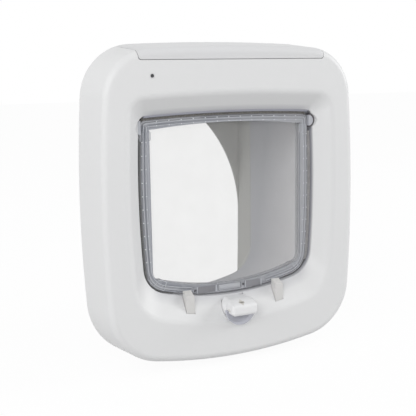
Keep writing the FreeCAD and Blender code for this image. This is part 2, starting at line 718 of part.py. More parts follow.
def bar_block():
    """Bar that the two latches clip on to."""
    half = LATCH_X + LATCH_W / 2 - LATCH_CLIP
    return box(-half, half, LATCH_FRONT_Y + BAR_SETBACK, BAR_BACK_Y,
               BAR_TOP - BAR_H + LATCH_CLIP, BAR_TOP - LATCH_CLIP)


def rack_tooth(z):
    """One tooth of the rack, with its flanks at the pressure angle."""
    slope = math.tan(math.radians(PRESSURE_DEG))
    half = PITCH / 4 - BACKLASH / 2
    root, tip = half + GEAR_DED * slope, half - RACK_ADD * slope
    y0, y1 = RACK_PITCH_Y - GEAR_DED - 0.2, RACK_PITCH_Y + RACK_ADD
    return polygon_x([(y0, z - root), (y0, z + root), (y1, z + tip), (y1, z - tip)],
                     PINION_X - RACK_W / 2, PINION_X + RACK_W / 2)


def latch_bar():
    low = PINION_Z - 1.5 * PITCH
    back = box(PINION_X - RACK_W / 2, PINION_X + RACK_W / 2, BAR_BACK_Y - LATCH_CLIP, RACK_PITCH_Y - GEAR_DED,
               low, low + RACK_TEETH * PITCH)
    teeth = [rack_tooth(low + (n + 0.5) * PITCH) for n in range(RACK_TEETH)]
    return fuse([bar_block(), back] + teeth)


def involute(base_r, r, sign, turn):
    """Point of an involute flank at radius r."""
    t = math.sqrt(max((r / base_r) ** 2 - 1, 0.0))
    angle = turn + sign * (t - math.atan(t))
    return (r * math.cos(angle), r * math.sin(angle))


def pinion_profile():
    """Corner points of the pinion, tooth by tooth, about its own centre as (y, z)."""
    alpha = math.radians(PRESSURE_DEG)
    base_r = PITCH_R * math.cos(alpha)
    root_r, tip_r = PITCH_R - GEAR_DED, PITCH_R + PINION_ADD
    inv = math.tan(alpha) - alpha
    half = (PITCH / 4 - BACKLASH / 2) / PITCH_R + inv
    points = []
    for n in range(PINION_TEETH):
        mid = 2 * math.pi * (n + 0.5) / PINION_TEETH
        radii = [max(base_r, root_r), PITCH_R, tip_r]
        rise = [involute(base_r, r, 1, mid - half) for r in radii]
        fall = [involute(base_r, r, -1, mid + half) for r in reversed(radii)]
        start = (root_r * math.cos(mid - half), root_r * math.sin(mid - half))
        end = (root_r * math.cos(mid + half), root_r * math.sin(mid + half))
        points += [start] + rise + fall + [end]
    return points


def latch_pinion():
    ring_points = [(PINION_Y + y, PINION_Z + z) for y, z in pinion_profile()]
    gear = polygon_x(ring_points, PINION_X - PINION_W / 2, PINION_X + PINION_W / 2)
    return gear.cut(rod_x(MOTOR_SHAFT_R + SNUG, PINION_X - PINION_W, PINION_X + PINION_W, PINION_Y, PINION_Z))


def motor_shaft():
    return rod_x(MOTOR_SHAFT_R, PINION_X - PINION_W / 2 - SHAFT_STUB, MOTOR_X + SHAFT_SEAT, PINION_Y, PINION_Z)


def latch_motor():
    can = rod_x(MOTOR_R, MOTOR_X, MOTOR_X + MOTOR_LEN, PINION_Y, PINION_Z)
    can = can.makeChamfer(MOTOR_EDGE, [e for e in can.Edges if e.BoundBox.XLength < 0.01])
    nose = rod_x(MOTOR_NOSE_R, MOTOR_X - BRACKET_THICK, MOTOR_X + MOTOR_EDGE, PINION_Y, PINION_Z)
    bore = rod_x(MOTOR_SHAFT_R + KNOB_SHAFT_CLEAR, MOTOR_X - MOTOR_GAP, MOTOR_X + SHAFT_SEAT + CLIP_GAP,
                 PINION_Y, PINION_Z)
    return can.fuse(nose).cut(bore)


def motor_bracket():
    """Upright plate that carries the motor by its nose and stands on the rear cover."""
    high = TUNNEL_BOTTOM - TUNNEL_OUT - BRACKET_CLEAR
    low = PINION_Z - MOTOR_R - BRACKET_CLEAR
    front = PINION_Y - MOTOR_R
    side = [(front, low), (-WALL, low), (-WALL, high), (COLLAR_END_Y, high),
            (COLLAR_END_Y - 1.2, PINION_Z + MOTOR_R), (front, PINION_Z + MOTOR_R)]
    plate = polygon_x(side, MOTOR_X - BRACKET_THICK, MOTOR_X)
    foot = box(MOTOR_X - BRACKET_FOOT, MOTOR_X + BRACKET_FOOT, -WALL - BRACKET_THICK, -WALL, low, high)
    bore = rod_x(MOTOR_NOSE_R + SNUG, MOTOR_X - MOTOR_GAP, MOTOR_X + MOTOR_GAP, PINION_Y, PINION_Z)
    return plate.fuse(foot).cut(bore)


def knob_block(margin):
    """The grip that stands in front of the pocket, wider than it is high."""
    half = KNOB_W / 2 + margin
    block = box(-half, half, KNOB_FRONT_Y, FRONT_Y - KNOB_CLEAR, KNOB_Z - KNOB_DOWN - margin,
                KNOB_Z + KNOB_UP + margin)
    return block.makeFillet(KNOB_CORNER_R, [e for e in block.Edges if e.BoundBox.YLength > 1])


def lock_knob():
    block = knob_block(0.0)
    block = block.makeFillet(KNOB_FRONT_R, front_edges(block, KNOB_FRONT_Y))
    barrel = rod_y(KNOB_BARREL_R, FRONT_Y - KNOB_CLEAR, POCKET_FLOOR_Y - KNOB_CLEAR, 0, KNOB_Z)
    barrel = barrel.cut(box(-FAR, FAR, -FAR, FAR, KNOB_Z + KNOB_UP, FAR))
    shaft = rod_y(KNOB_SHAFT_R, POCKET_FLOOR_Y - KNOB_CLEAR - 1, CLIP_Y + 2 * CLIP_THICK, 0, KNOB_Z)
    groove = ring_y(KNOB_SHAFT_R - CLIP_GROOVE, KNOB_SHAFT_R + 1, CLIP_Y, CLIP_Y + CLIP_THICK, KNOB_Z)
    return fuse([block, barrel, shaft]).cut(groove)


def ring_y(r_in, r_out, y0, y1, z):
    return rod_y(r_out, y0, y1, 0, z).cut(rod_y(r_in, y0 - 1, y1 + 1, 0, z))


def knob_clip():
    clip = ring_y(KNOB_SHAFT_R - CLIP_GROOVE + SNUG, CLIP_R, CLIP_Y, CLIP_Y + CLIP_THICK, KNOB_Z)
    return clip.cut(box(-CLIP_MOUTH / 2, CLIP_MOUTH / 2, -FAR, FAR, KNOB_Z - CLIP_R - 1, KNOB_Z))


def lock_cam():
    """Clear half disc behind the knob's grip, which blocks the flap when it is turned up."""
    y1 = FRONT_Y - CAM_GAP
    disc = rod_y(CAM_R, y1 - CAM_THICK, y1, 0, KNOB_Z)
    disc = disc.common(box(-CAM_R - 1, CAM_R + 1, -FAR, FAR, KNOB_Z - CAM_R - 1, KNOB_Z))
    disc = disc.cut(knob_block(SNUG))
    return disc


def cover_lip():
    """Skirt under the battery cover that drops inside the seams."""
    depth = FRONT_Y + WALL + COVER_CLEAR
    half = COVER_HALF_W - COVER_LIP_INSET
    z0, z1 = COVER_Z - COVER_LIP_DROP, COVER_Z + COVER_LIP_RISE
    front = box(-half, half, depth, depth + COVER_LIP, z0, z1)
    sides = both(box(half - COVER_LIP, half, depth, -WALL - 2, z0, z1 + COVER_LIP))
    return fuse([front] + sides)


def battery_cover():
    """Lid cut from the housing's own skin, with a skirt and the webs that carry it."""
    shell = housing_outside().cut(housing_inside(WALL))
    cap = shell.common(cover_region(0.0, COVER_REAR_Y))
    skirt = cover_lip().common(housing_inside(WALL - COVER_CLEAR))
    skirt = skirt.cut(box(-FAR, FAR, -WALL - 1, FAR, -FAR, FAR))
    half = COVER_HALF_W - COVER_LIP_INSET
    y0 = FRONT_Y + WALL - COVER_CLEAR
    y1 = FRONT_Y + WALL + COVER_CLEAR + COVER_LIP
    z0, z1 = COVER_Z + COVER_GAP, COVER_Z + COVER_LIP
    webs = both(box(half - COVER_LIP, half, y0, y1, z0, z1 + COVER_LIP))
    webs.append(box(-COVER_LINK_W / 2, COVER_LINK_W / 2, y0, y1, z0, z1))
    return fuse([cap, skirt] + webs)


def battery_tray():
    half = TRAY_HALF_W
    y0 = CELL_ROW_Y - CELL_PITCH / 2 - CELL_R - CELL_GAP - TRAY_WALL
    y1 = CELL_ROW_Y + CELL_PITCH / 2 + CELL_R + CELL_GAP + TRAY_WALL
    tray = box(-half, half, y0, y1, TRAY_LOW, TRAY_TOP)
    tray = tray.makeFillet(TRAY_CORNER_R, [e for e in tray.Edges if e.BoundBox.ZLength > 5])
    for sx in (-1, 1):
        x = sx * TRAY_FOOT_X
        tray = tray.fuse(box(x - TRAY_FOOT_W / 2, x + TRAY_FOOT_W / 2, y1 - 1, -WALL, TRAY_LOW, TRAY_TOP))
    for sy in (-1, 1):
        cy = CELL_ROW_Y + sy * CELL_PITCH / 2
        reach = CELL_R + CELL_GAP
        trough = rod_x(reach, -half + TRAY_WALL, half - TRAY_WALL, cy, CELL_Z + CELL_GAP - CELL_CLEAR)
        mouth = box(-half + TRAY_WALL, half - TRAY_WALL, cy - reach, cy + reach, CELL_Z + CELL_GAP, FAR)
        tray = tray.cut(trough.fuse(mouth))
    return tray.removeSplitter()


def battery_cell(row, side):
    """One cell lying along X. The two cells of a row touch, and the rows point opposite ways."""
    way = 1 if row == 0 else -1
    cy = CELL_ROW_Y - way * CELL_PITCH / 2
    whole = CELL_LEN + CELL_NUB
    foot = 0.0 if side == way else -way * whole
    can_x = min(foot, foot + way * CELL_LEN)
    can = rod_x(CELL_R, can_x, can_x + CELL_LEN, cy, CELL_Z)
    can = can.makeChamfer(CELL_EDGE, [e for e in can.Edges if e.BoundBox.XLength < 0.01])
    x0, x1 = sorted((foot + way * (CELL_LEN - CELL_EDGE), foot + way * whole))
    return can.fuse(rod_x(CELL_NUB_R, x0, x1, cy, CELL_Z))


def battery_contacts():
    """End plates, with a coned spring at each row's flat end and a pressed pad at the other."""
    parts = []
    end = TRAY_HALF_W - TRAY_WALL
    reach = end - CELL_LEN - CELL_NUB
    for sx in (1, -1):
        for way in (1, -1):
            cy = CELL_ROW_Y - way * CELL_PITCH / 2
            x0, x1 = sorted((sx * end, sx * (end - PLATE_METAL)))
            plate = box(x0, x1, cy - CONTACT_W / 2, cy + CONTACT_W / 2, CELL_Z - CONTACT_H / 2,
                        CELL_Z + CONTACT_H / 2)
            foot, tip = (PAD_FOOT_R, PAD_R) if sx == way else (SPRING_R, SPRING_TIP_R)
            cone = Part.makeCone(foot, tip, reach - PLATE_METAL, vec(sx * (end - PLATE_METAL), cy, CELL_Z),
                                 vec(-sx, 0, 0))
            parts.append(plate.fuse(cone))
    return Part.makeCompound(parts)


def circuit_board():
    """Board flat under the battery tray, with the light at its front corner."""
    top = TRAY_LOW
    low = top - BOARD_THICK
    board = box(-BOARD_HALF_W, BOARD_HALF_W, BOARD_FRONT_Y, BOARD_REAR_Y, low, top)
    half, mid = LED_SIZE / 2, (BOARD_FRONT_Y + BOARD_REAR_Y) / 2
    light = box(LED_X - half, LED_X + half, BOARD_FRONT_Y, BOARD_FRONT_Y + LED_SIZE, top - 0.1, LED_Z + half)
    chip = box(-4.5 * CHIP_SIZE, -3.5 * CHIP_SIZE, mid, mid + CHIP_SIZE, low - BOARD_THICK, low + 0.1)
    relay = box(-2 * CHIP_SIZE, -CHIP_SIZE, mid, mid + CHIP_SIZE, low - RELAY_H, low + 0.1)
    plug = box(4 * CHIP_SIZE, 5 * CHIP_SIZE, mid + CHIP_SIZE / 2, mid + CHIP_SIZE, low - RELAY_H / 2, low + 0.1)
    can = rod_z(CAP_R, low - RELAY_H - 1, low + 0.1, CHIP_SIZE, mid + CAP_R)
    return fuse([board, light, chip, relay, plug, can])


def led_lens():
    lens = rod_y(LED_R, FRONT_Y - LED_PROUD, BOARD_FRONT_Y - SNUG, LED_X, LED_Z)
    return lens.makeChamfer(LED_PROUD * 0.8, front_edges(lens, FRONT_Y - LED_PROUD))


def switch_base():
    """Small switch beside the battery tray that the learn button presses."""
    half = BUTTON_R + BUTTON_CLEAR + CELL_EDGE * 5
    body = box(TRAY_HALF_W, BUTTON_X + SWITCH_MARGIN, CELL_ROW_Y - half, CELL_ROW_Y + half, TRAY_LOW,
               BUTTON_TOP - SWITCH_GAP)
    return body.cut(rod_z(BUTTON_R + BUTTON_CLEAR, TRAY_LOW + SWITCH_FLOOR, FAR, BUTTON_X, CELL_ROW_Y))


def learn_button():
    stem = rod_z(BUTTON_R, BUTTON_LOW, BUTTON_TOP, BUTTON_X, CELL_ROW_Y)
    return stem.makeChamfer(BUTTON_EDGE, [e for e in stem.Edges if e.BoundBox.ZMin > BUTTON_TOP - 0.01])


def magnet(sx):
    x = sx * PLATE_X
    return box(x - MAGNET_W / 2, x + MAGNET_W / 2, HINGE_Y - MAGNET_D / 2, HINGE_Y + MAGNET_D / 2,
               MAGNET_TOP - MAGNET_H, MAGNET_TOP)


def build():
    high = HINGE_Z - BUSH_R - BUSH_BOSS_WALL
    low = THROAT_BOTTOM + BRUSH_SIDE_LOW
    far_x = FLAP.half_w
    near_x = far_x - BRUSH_CORNER_W
    nodes = {
        "front_housing": front_housing(),
        "rear_cover": rear_cover(),
        "cover_screws": cover_screws(),
        "inner_tunnel": inner_tunnel(),
        "outer_tunnel": outer_tunnel(),
        "antenna_former": antenna_former(),
        "antenna_coil": antenna_coil(),
        "battery_cover": battery_cover(),
        "battery_tray": battery_tray(),
        "battery_contacts": battery_contacts(),
        "circuit_board": circuit_board(),
        "led_lens": led_lens(),
        "switch_base": switch_base(),
        "learn_button": learn_button(),
        "flap_rail": flap_rail(),
        "flap_panel": flap_panel(),
        "brush_top": brush(-far_x + SIDE_GAP, far_x - SIDE_GAP, HINGE_Z, FAR),
        "brush_left": brush(-FAR, -near_x, low, high),
        "brush_right": brush(near_x, FAR, low, high),
        "brush_bottom_left": brush(-FAR, -near_x, -FAR, low - CLIP_GAP),
        "brush_bottom_right": brush(near_x, FAR, -FAR, low - CLIP_GAP),
        "latch_left": latch(-1),
        "latch_right": latch(1),
        "latch_bar": latch_bar(),
        "latch_pinion": latch_pinion(),
        "motor_shaft": motor_shaft(),
        "latch_motor": latch_motor(),
        "motor_bracket": motor_bracket(),
        "lock_knob": lock_knob(),
        "lock_cam": lock_cam(),
        "knob_clip": knob_clip(),
    }
    for side, sx in (("left", -1), ("right", 1)):
        nodes["strike_plate_" + side] = strike_plate(sx)
        nodes["hinge_pin_" + side] = hinge_pin(sx)
        nodes["hinge_bush_" + side] = hinge_bush(sx)
        nodes["magnet_" + side] = magnet(sx)
    number = 1
    for row in (0, 1):
        for side in (-1, 1):
            nodes["battery_cell_%d" % number] = battery_cell(row, side)
            number += 1
    return nodes


os.makedirs("parts", exist_ok=True)
for name, shape in build().items():
    shape.exportStep("parts/" + name + ".step")
    box_now = shape.BoundBox
    print("%-20s solids %d valid %s volume %.0f  x %.1f %.1f  y %.1f %.1f  z %.1f %.1f" % (
        name, len(shape.Solids), shape.isValid(), shape.Volume, box_now.XMin, box_now.XMax,
        box_now.YMin, box_now.YMax, box_now.ZMin, box_now.ZMax))
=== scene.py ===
import math
import random

import bmesh
import bpy
from mathutils import Matrix, Vector

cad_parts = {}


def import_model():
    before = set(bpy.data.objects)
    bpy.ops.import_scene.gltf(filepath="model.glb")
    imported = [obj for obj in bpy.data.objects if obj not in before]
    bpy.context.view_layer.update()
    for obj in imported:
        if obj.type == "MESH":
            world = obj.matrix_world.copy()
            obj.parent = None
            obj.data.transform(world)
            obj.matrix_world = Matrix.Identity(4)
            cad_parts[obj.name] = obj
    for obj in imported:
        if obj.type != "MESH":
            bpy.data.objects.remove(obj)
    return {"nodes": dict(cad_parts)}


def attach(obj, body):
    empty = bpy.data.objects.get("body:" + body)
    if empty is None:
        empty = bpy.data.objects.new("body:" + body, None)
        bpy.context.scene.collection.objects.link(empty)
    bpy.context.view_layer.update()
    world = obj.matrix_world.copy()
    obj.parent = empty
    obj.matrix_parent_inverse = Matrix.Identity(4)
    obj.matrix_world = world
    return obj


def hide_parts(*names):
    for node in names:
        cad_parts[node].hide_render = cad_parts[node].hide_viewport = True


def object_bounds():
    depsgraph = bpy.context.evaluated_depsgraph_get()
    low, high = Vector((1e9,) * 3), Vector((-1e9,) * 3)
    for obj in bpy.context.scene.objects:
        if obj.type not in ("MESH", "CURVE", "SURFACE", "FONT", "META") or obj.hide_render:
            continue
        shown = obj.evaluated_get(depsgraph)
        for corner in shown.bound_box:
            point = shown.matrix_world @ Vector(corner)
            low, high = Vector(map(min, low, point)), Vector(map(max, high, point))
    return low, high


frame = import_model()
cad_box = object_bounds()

# Cat flap in a door. X points right as seen from the room, Y into the door, Z up. Blender works in
# metres, and sizes are written here in millimetres times MM.

MM = 0.001
WELD = 0.001 * MM
QUARTER = math.pi / 2

# Camera and light
CAMERA_PLACE = (-0.2777, -0.5607, 0.0955)
CAMERA_FORWARD = (0.4325, 0.8871, -0.1616)
CAMERA_RIGHT = (0.8989, -0.4382, 0.0)
CAMERA_ROLL = math.radians(-0.95)
LENS = 70.96
SENSOR = 36.0
ROOM_COLOR = (0.98, 0.99, 1.0, 1.0)
ROOM_LIGHT = 0.56
PAPER_WHITE = (1.0, 1.0, 1.0, 1.0)
FLOOR_Z = cad_box[0][2] - 0.6 * MM
FLOOR_FAR = 6.0
FLOOR_COLOR = (0.66, 0.66, 0.66, 1.0)
FLOOR_GLOW = 1.03
FLOOR_GLOW_SHARE = 0.92
# name, place, width, power
LAMPS = (("window left", (-1.75, -0.47, 0.60), 0.9, 5.5),
         ("front left", (-1.05, -1.15, 0.80), 0.8, 7.8),
         ("window right", (1.70, -0.60, 0.60), 0.9, 12.5))

# The flap's rail: its outline, its window, and the ribs that run round it
FLAP_FRONT = -26.5 * MM
FLAP_HALF_W = 70.0 * MM
FLAP_TOP = 65.9 * MM
FLAP_SIDE_R = 779.3 * MM
FLAP_TOP_R = 1121.6 * MM
FLAP_WIDEST = 15.0 * MM
OUTLINE_Y = -25.8 * MM
THROUGH_RAIL = FLAP_FRONT + 8.0 * MM
BEFORE_RAIL = FLAP_FRONT - MM
WINDOW_HALF_W = 62.2 * MM
WINDOW_SIDE = (-51.6 * MM, 56.0 * MM)
WINDOW_LOW_R = 6.5 * MM
WINDOW_CORNER_X = 57.6 * MM
WINDOW_CORNER_Z = (54.0 * MM, 57.35 * MM)
WINDOW_CORNER_RISE = 0.38 * MM
# distance from the outline, width, depth
SLOT = (1.15 * MM, 0.65 * MM, 1.1 * MM)
GROOVE = (3.0 * MM, 0.8 * MM, 0.5 * MM)
# distance from the outline, width, height
BEADS = ((2.1 * MM, 0.5 * MM, 0.22 * MM), (4.25 * MM, 0.5 * MM, 0.3 * MM))
BEAD_SINK = 0.2 * MM
LIP_W = 0.5 * MM
LIP_PROUD = 0.28 * MM
LIP_DEEP = 0.9 * MM
PIP_R = 0.42 * MM
PIP_PITCH = 9.55 * MM
PIP_LINE = 4.5 * MM
RIB_LINE = 1.5 * MM
TOP_PIP_X = 0.9 * MM
SIDE_PIP_Z = 10.6 * MM

# What sits on the rail: hinge clips, bars and bosses beside the strike plates, the pocket between them
# middle and width of each loop
CLIP_LOOPS = ((62.8 * MM, 3.1 * MM), (66.2 * MM, 2.2 * MM))
CLIP_Z = 53.1 * MM
CLIP_TALL = 6.5 * MM
CLIP_CORNER_R = 0.95 * MM
PLATE_LOW = -65.55 * MM
BAR_X = (-27.1 * MM, -11.4 * MM, 13.3 * MM, 27.1 * MM)
BAR_HALF_W = 0.35 * MM
BOSS_X = (-28.9 * MM, 11.5 * MM)
BOSS_Z = -62.9 * MM
BOSS_R = 0.95 * MM
POCKET_HALF_W = 9.3 * MM
POCKET_TALL = 4.2 * MM

# The brushes
BRUSH_Y = -25.0 * MM
BRUSH_HIGH = 50.5 * MM
BRUSH_LOW = -49.8 * MM
BRUSH_TOP_HALF = 66.0 * MM
BRUSH_CORNER_X = 46.5 * MM
TUFT_PITCH = 1.25 * MM
TUFT_FRONT = 0.55 * MM
HAIR_PITCH = 0.27 * MM
# lean in degrees, share of the tuft's height
HAIRS = ((-9.0, 0.94), (-3.5, 1.0), (2.0, 0.9), (7.5, 0.97))

# The lock knob, the sill and the light
KNOB_HALF_W = 10.4 * MM
KNOB_TOP = -68.8 * MM
KNOB_LOW = -79.8 * MM
KNOB_FALL = 3.2 * MM
KNOB_FLANGE = -44.6 * MM
KNOB_FRONT = -51.7 * MM
KNOB_REAR = -41.3 * MM
KNOB_EDGE_R = 1.9 * MM
SIDE_ARROW_Z = -76.2 * MM
HOUSING_FRONT = -40.5 * MM
LED = (-64.3 * MM, 94.7 * MM)
EAR_X = 68.6 * MM
EAR_Z = 59.1 * MM
EAR_RIM_R = 4.06 * MM

# The battery bay
CELL_Z = 101.65 * MM
CELL_ROW_Y = -19.4 * MM
CELL_PITCH = 15.0 * MM
CONTACT_X = 53.5 * MM
BOARD_LOW = 91.32 * MM
SOLDER_X = (-62.0, -57.5, -30.0, -25.5, 3.0, 7.5, 30.5, 35.0, 58.0, 62.5)
SOLDER_Y = (-31.5, -27.0, -13.0)


class Term:
    """A node's output that can be written in sums."""

    def __init__(self, finish, socket):
        self.finish = finish
        self.socket = socket

    def _maths(self, operation, a, b):
        return self.finish.add("ShaderNodeMath", {"operation": operation}, {0: a, 1: b})

    def __add__(self, other):
        return self._maths("ADD", self, other)

    def __radd__(self, other):
        return self._maths("ADD", other, self)

    def __sub__(self, other):
        return self._maths("SUBTRACT", self, other)

    def __rsub__(self, other):
        return self._maths("SUBTRACT", other, self)

    def __mul__(self, other):
        return self._maths("MULTIPLY", self, other)

    def __rmul__(self, other):
        return self._maths("MULTIPLY", other, self)

    def above(self, edge):
        return self._maths("GREATER_THAN", self, edge)

    def below(self, edge):
        return self._maths("LESS_THAN", self, edge)

    def size(self):
        return self._maths("ABSOLUTE", self, 0.0)

    def held(self):
        """The same, kept between 0 and 1."""
        return self.finish.add("ShaderNodeClamp", values={"Value": self})

    def rise(self, start, over):
        """0 up to start, then rising to 1 over the given length."""
        return ((self - start) * (1.0 / over)).held()


class Finish:
    """One material, built node by node round a plain surface shader."""

    def __init__(self, name, color, rough, **fixed):
        self.mat = bpy.data.materials.new(name)
        self.mat.use_nodes = True
        self.tree = self.mat.node_tree
        self.shader = next(n for n in self.tree.nodes if n.type == "BSDF_PRINCIPLED")
        self.put(self.shader, {"Base Color": color, "Roughness": rough})
        for key, value in fixed.items():
            self.shader.inputs[key.replace("_", " ")].default_value = value
        self.mat.diffuse_color = (*color, 1.0)

    def put(self, node, values):
        for key, value in values.items():
            socket = node.inputs[key]
            if isinstance(value, Term):
                self.tree.links.new(value.socket, socket)
            elif isinstance(value, tuple) and len(value) == 3 and socket.type == "RGBA":
                socket.default_value = (*value, 1.0)
            else:
                socket.default_value = value

    def add(self, kind, settings=None, values=None, out=0):
        node = self.tree.nodes.new(kind)
        for key, value in (settings or {}).items():
            setattr(node, key, value)
        self.put(node, values or {})
        return Term(self, node.outputs[out])

    def place(self, scale=(1.0, 1.0, 1.0)):
        """Position on the piece, scaled, so that a pattern keeps its size in metres."""
        where = self.add("ShaderNodeTexCoord", out="Object")
        return self.add("ShaderNodeMapping", values={"Vector": where, "Scale": scale})

    def axes(self):
        where = self.add("ShaderNodeTexCoord", out="Object")
        split = self.add("ShaderNodeSeparateXYZ", values={"Vector": where})
        return tuple(Term(self, out) for out in split.socket.node.outputs)

    def grain(self, size, detail=2.0, rough=0.5, stretch=(1.0, 1.0, 1.0)):
        """Cloudy noise from 0 to 1 whose blobs are about size metres across."""
        return self.add("ShaderNodeTexNoise", values={
            "Vector": self.place(stretch), "Scale": 1.0 / size, "Detail": detail, "Roughness": rough})

    def between(self, amount, a, b):
        """Colour a where amount is 0, b where it is 1."""
        return self.add("ShaderNodeMix", {"data_type": "RGBA"}, {"Factor": amount, 6: a, 7: b}, out=2)

    def bump(self, height, depth, strength):
        normal = self.add("ShaderNodeBump", values={"Height": height, "Distance": depth,
                                                    "Strength": strength})
        self.put(self.shader, {"Normal": normal})

    def use(self, **values):
        self.put(self.shader, {key.replace("_", " "): value for key, value in values.items()})


def tinted(color, share):
    return tuple(c * share for c in color)


def skin(f, color, rough, texture=0.00003):
    """Fine spark-eroded skin of a moulding, with faint clouds in its gloss."""
    clouds = f.grain(0.035, 3.0)
    fine = f.grain(0.0007)
    f.use(Base_Color=color, Roughness=clouds * 0.07 + (rough - 0.035) + fine * 0.02)
    f.bump(fine, texture, 0.35)
    return f.mat


def moulded(name, color, rough=0.42, texture=0.00003):
    f = Finish(name, color, rough, IOR=1.49)
    return skin(f, f.between(f.grain(0.035, 3.0), tinted(color, 0.985), color), rough, texture)


def clear_skin(f, color, alpha, haze_share, rough):
    """Clear plastic's surface, more solid where dust and moulding stress lie."""
    haze = f.grain(0.02, 3.0)
    f.use(Base_Color=color or f.between(haze, tinted(f.mat.diffuse_color[:3], 0.94),
                                        tuple(f.mat.diffuse_color[:3])),
          Alpha=haze * haze_share + (alpha - haze_share / 2), Roughness=haze * 0.06 + rough)
    f.bump(f.grain(0.006), 0.00004, 0.4)
    return f.mat


def clear_moulding(name, color, alpha, rough=0.12):
    return clear_skin(Finish(name, color, rough, IOR=1.49), None, alpha, 0.06, rough)


def metal(name, color, rough=0.3, stretch=(1.0, 12.0, 12.0), size=0.002):
    f = Finish(name, color, rough, Metallic=1.0)
    lines = f.grain(size, 3.0, 0.6, stretch)
    f.use(Base_Color=f.between(lines, tinted(color, 0.82), color), Roughness=lines * 0.2 + (rough - 0.1))
    f.bump(lines, 0.00003, 0.4)
    return f.mat


def bristle(name, color, light, stretch):
    """Pile of fine hairs: streaks across the strip, lighter tips among darker gaps."""
    f = Finish(name, color, 0.9, Sheen_Weight=0.25, Sheen_Roughness=0.6)
    hair = f.grain(0.0011, 3.0, 0.7, stretch)
    clumps = f.grain(0.005, 2.0, 0.5, stretch)
    f.use(Base_Color=f.between(hair * 0.7 + clumps * 0.3, color, light))
    f.bump(hair, 0.0006, 0.9)
    return f.mat


WHITE = (0.80, 0.80, 0.80)


def funnel_white_painted_shade():
    """White moulding with painted shade: grey and a little blue where the funnel rolls into the throat,
    and on the sill below the flap.
    """
    f = Finish("housing moulding with painted shade", WHITE, 0.42, IOR=1.49)
    x, y, z = f.axes()
    across, up = x.size(), z.size()
    upper = y.rise(-33.0 * MM, 5.88 * MM)
    lower = y.rise(-34.0 * MM, 6.67 * MM) * 0.6
    level = upper + z.below(0.0) * (lower - upper)
    upright = y.rise(-28.8 * MM, 2.0 * MM)
    inside = across.below(88.0 * MM) * up.below(88.0 * MM)
    # Painted shade: greyer towards the throat's edges, where the light falls off.
    throat_shade = (level + across.rise(60.0 * MM, 10.0 * MM) * (upright - level)) * inside
    return skin(f, f.between(throat_shade, WHITE, (0.38, 0.382, 0.42)), 0.42)


def tunnel_grey_painted_light():
    """Pale grey moulding with painted light: lighter towards the room and towards the floor."""
    f = Finish("tunnel moulding painted light", (0.62, 0.62, 0.65), 0.5, IOR=1.49)
    x, y, z = f.axes()
    # Painted light: the colour lightens towards the room side and downwards, as the lit mouth would light
    # it.
    light = ((52.0 * MM - y) * 15.0 - z * 3.0).held()
    return skin(f, f.between(light, (0.56, 0.565, 0.605), (0.98, 0.965, 0.97)), 0.5)


def clear_rail_painted_shade():
    """Clear rail with painted shade and light: darker on its left, where the dark brush shows through,
    and paler on its right, where the pale tunnel shows through.
    """
    f = Finish("clear rail", (0.44, 0.46, 0.50), 0.16, IOR=1.49)
    x, y, z = f.axes()
    # Painted shade and light: the colour runs from dark on the left to pale on the right.
    right = x.rise(-62.5 * MM, 125.0 * MM)
    return clear_skin(f, f.between(right, (0.43, 0.445, 0.49), (0.60, 0.605, 0.64)), 0.66, 0.08, 0.16)


def clear_ear_painted_shade(name, side):
    """Clear hinge ear with painted shade and light: a painted dark gap shadow round its rim on the right,
    and painted lit white on the left.
    """
    f = Finish(name, (0.55, 0.58, 0.62), 0.15, IOR=1.49)
    x, y, z = f.axes()
    across, up = x - side * EAR_X, z - EAR_Z
    if side > 0:
        # Painted gap shadow: dark outside the rim radius.
        rim = (across * across + up * up).above(EAR_RIM_R ** 2)
        color = f.between(rim, (0.56, 0.57, 0.61), (0.13, 0.12, 0.13))
    else:
        # Painted light: near white where the ear lies left of x = -71.2 mm.
        color = f.between(x.below(-71.2 * MM), (0.50, 0.515, 0.55), (0.76, 0.76, 0.77))
    f.use(Base_Color=color, Roughness=f.grain(0.01) * 0.1 + 0.12)
    return f.mat


def wound_wire():
    f = Finish("wound copper", (0.55, 0.24, 0.11), 0.35, Metallic=1.0)
    turns = f.add("ShaderNodeTexWave", {"wave_type": "BANDS", "bands_direction": "Y"},
                  {"Vector": f.place(), "Scale": 900.0, "Distortion": 0.6, "Detail": 1.0})
    f.use(Base_Color=f.between(turns, (0.25, 0.09, 0.04), (0.62, 0.28, 0.13)))
    f.bump(turns, 0.0002, 0.8)
    return f.mat


def board_green():
    """Green varnish over a net of fine copper tracks."""
    f = Finish("circuit board", (0.012, 0.12, 0.05), 0.3)
    tracks = f.add("ShaderNodeTexBrick", {"offset": 0.5},
                   {"Vector": f.place(), "Scale": 160.0, "Mortar Size": 0.05, "Color1": (0.0, 0.0, 0.0),
                    "Color2": (0.0, 0.0, 0.0), "Mortar": (1.0, 1.0, 1.0)})
    f.use(Base_Color=f.between(tracks, (0.010, 0.10, 0.045), (0.03, 0.20, 0.085)))
    f.bump(tracks, 0.0001, 0.5)
    return f.mat


def cell_sleeve():
    """Battery sleeve: dark, with a bright band at each cell's plus end."""
    f = Finish("battery sleeve", (0.05, 0.05, 0.06), 0.3, Metallic=0.4)
    x, y, z = f.axes()
    scratches = f.grain(0.01)
    along = x * (y.below(CELL_ROW_Y) * 2.0 - 1.0)
    band = along.above(34.0 * MM) + along.above(-16.5 * MM) * along.below(0.0)
    dark = f.between(scratches, (0.035, 0.036, 0.04), (0.05, 0.052, 0.058))
    f.use(Base_Color=f.between(band, dark, (0.52, 0.38, 0.16)))
    f.bump(scratches, 0.00005, 0.3)
    return f.mat


ACROSS = (0.15, 1.0, 1.0)
UPRIGHT = (1.0, 1.0, 0.15)
EVEN = (1.0, 1.0, 1.0)

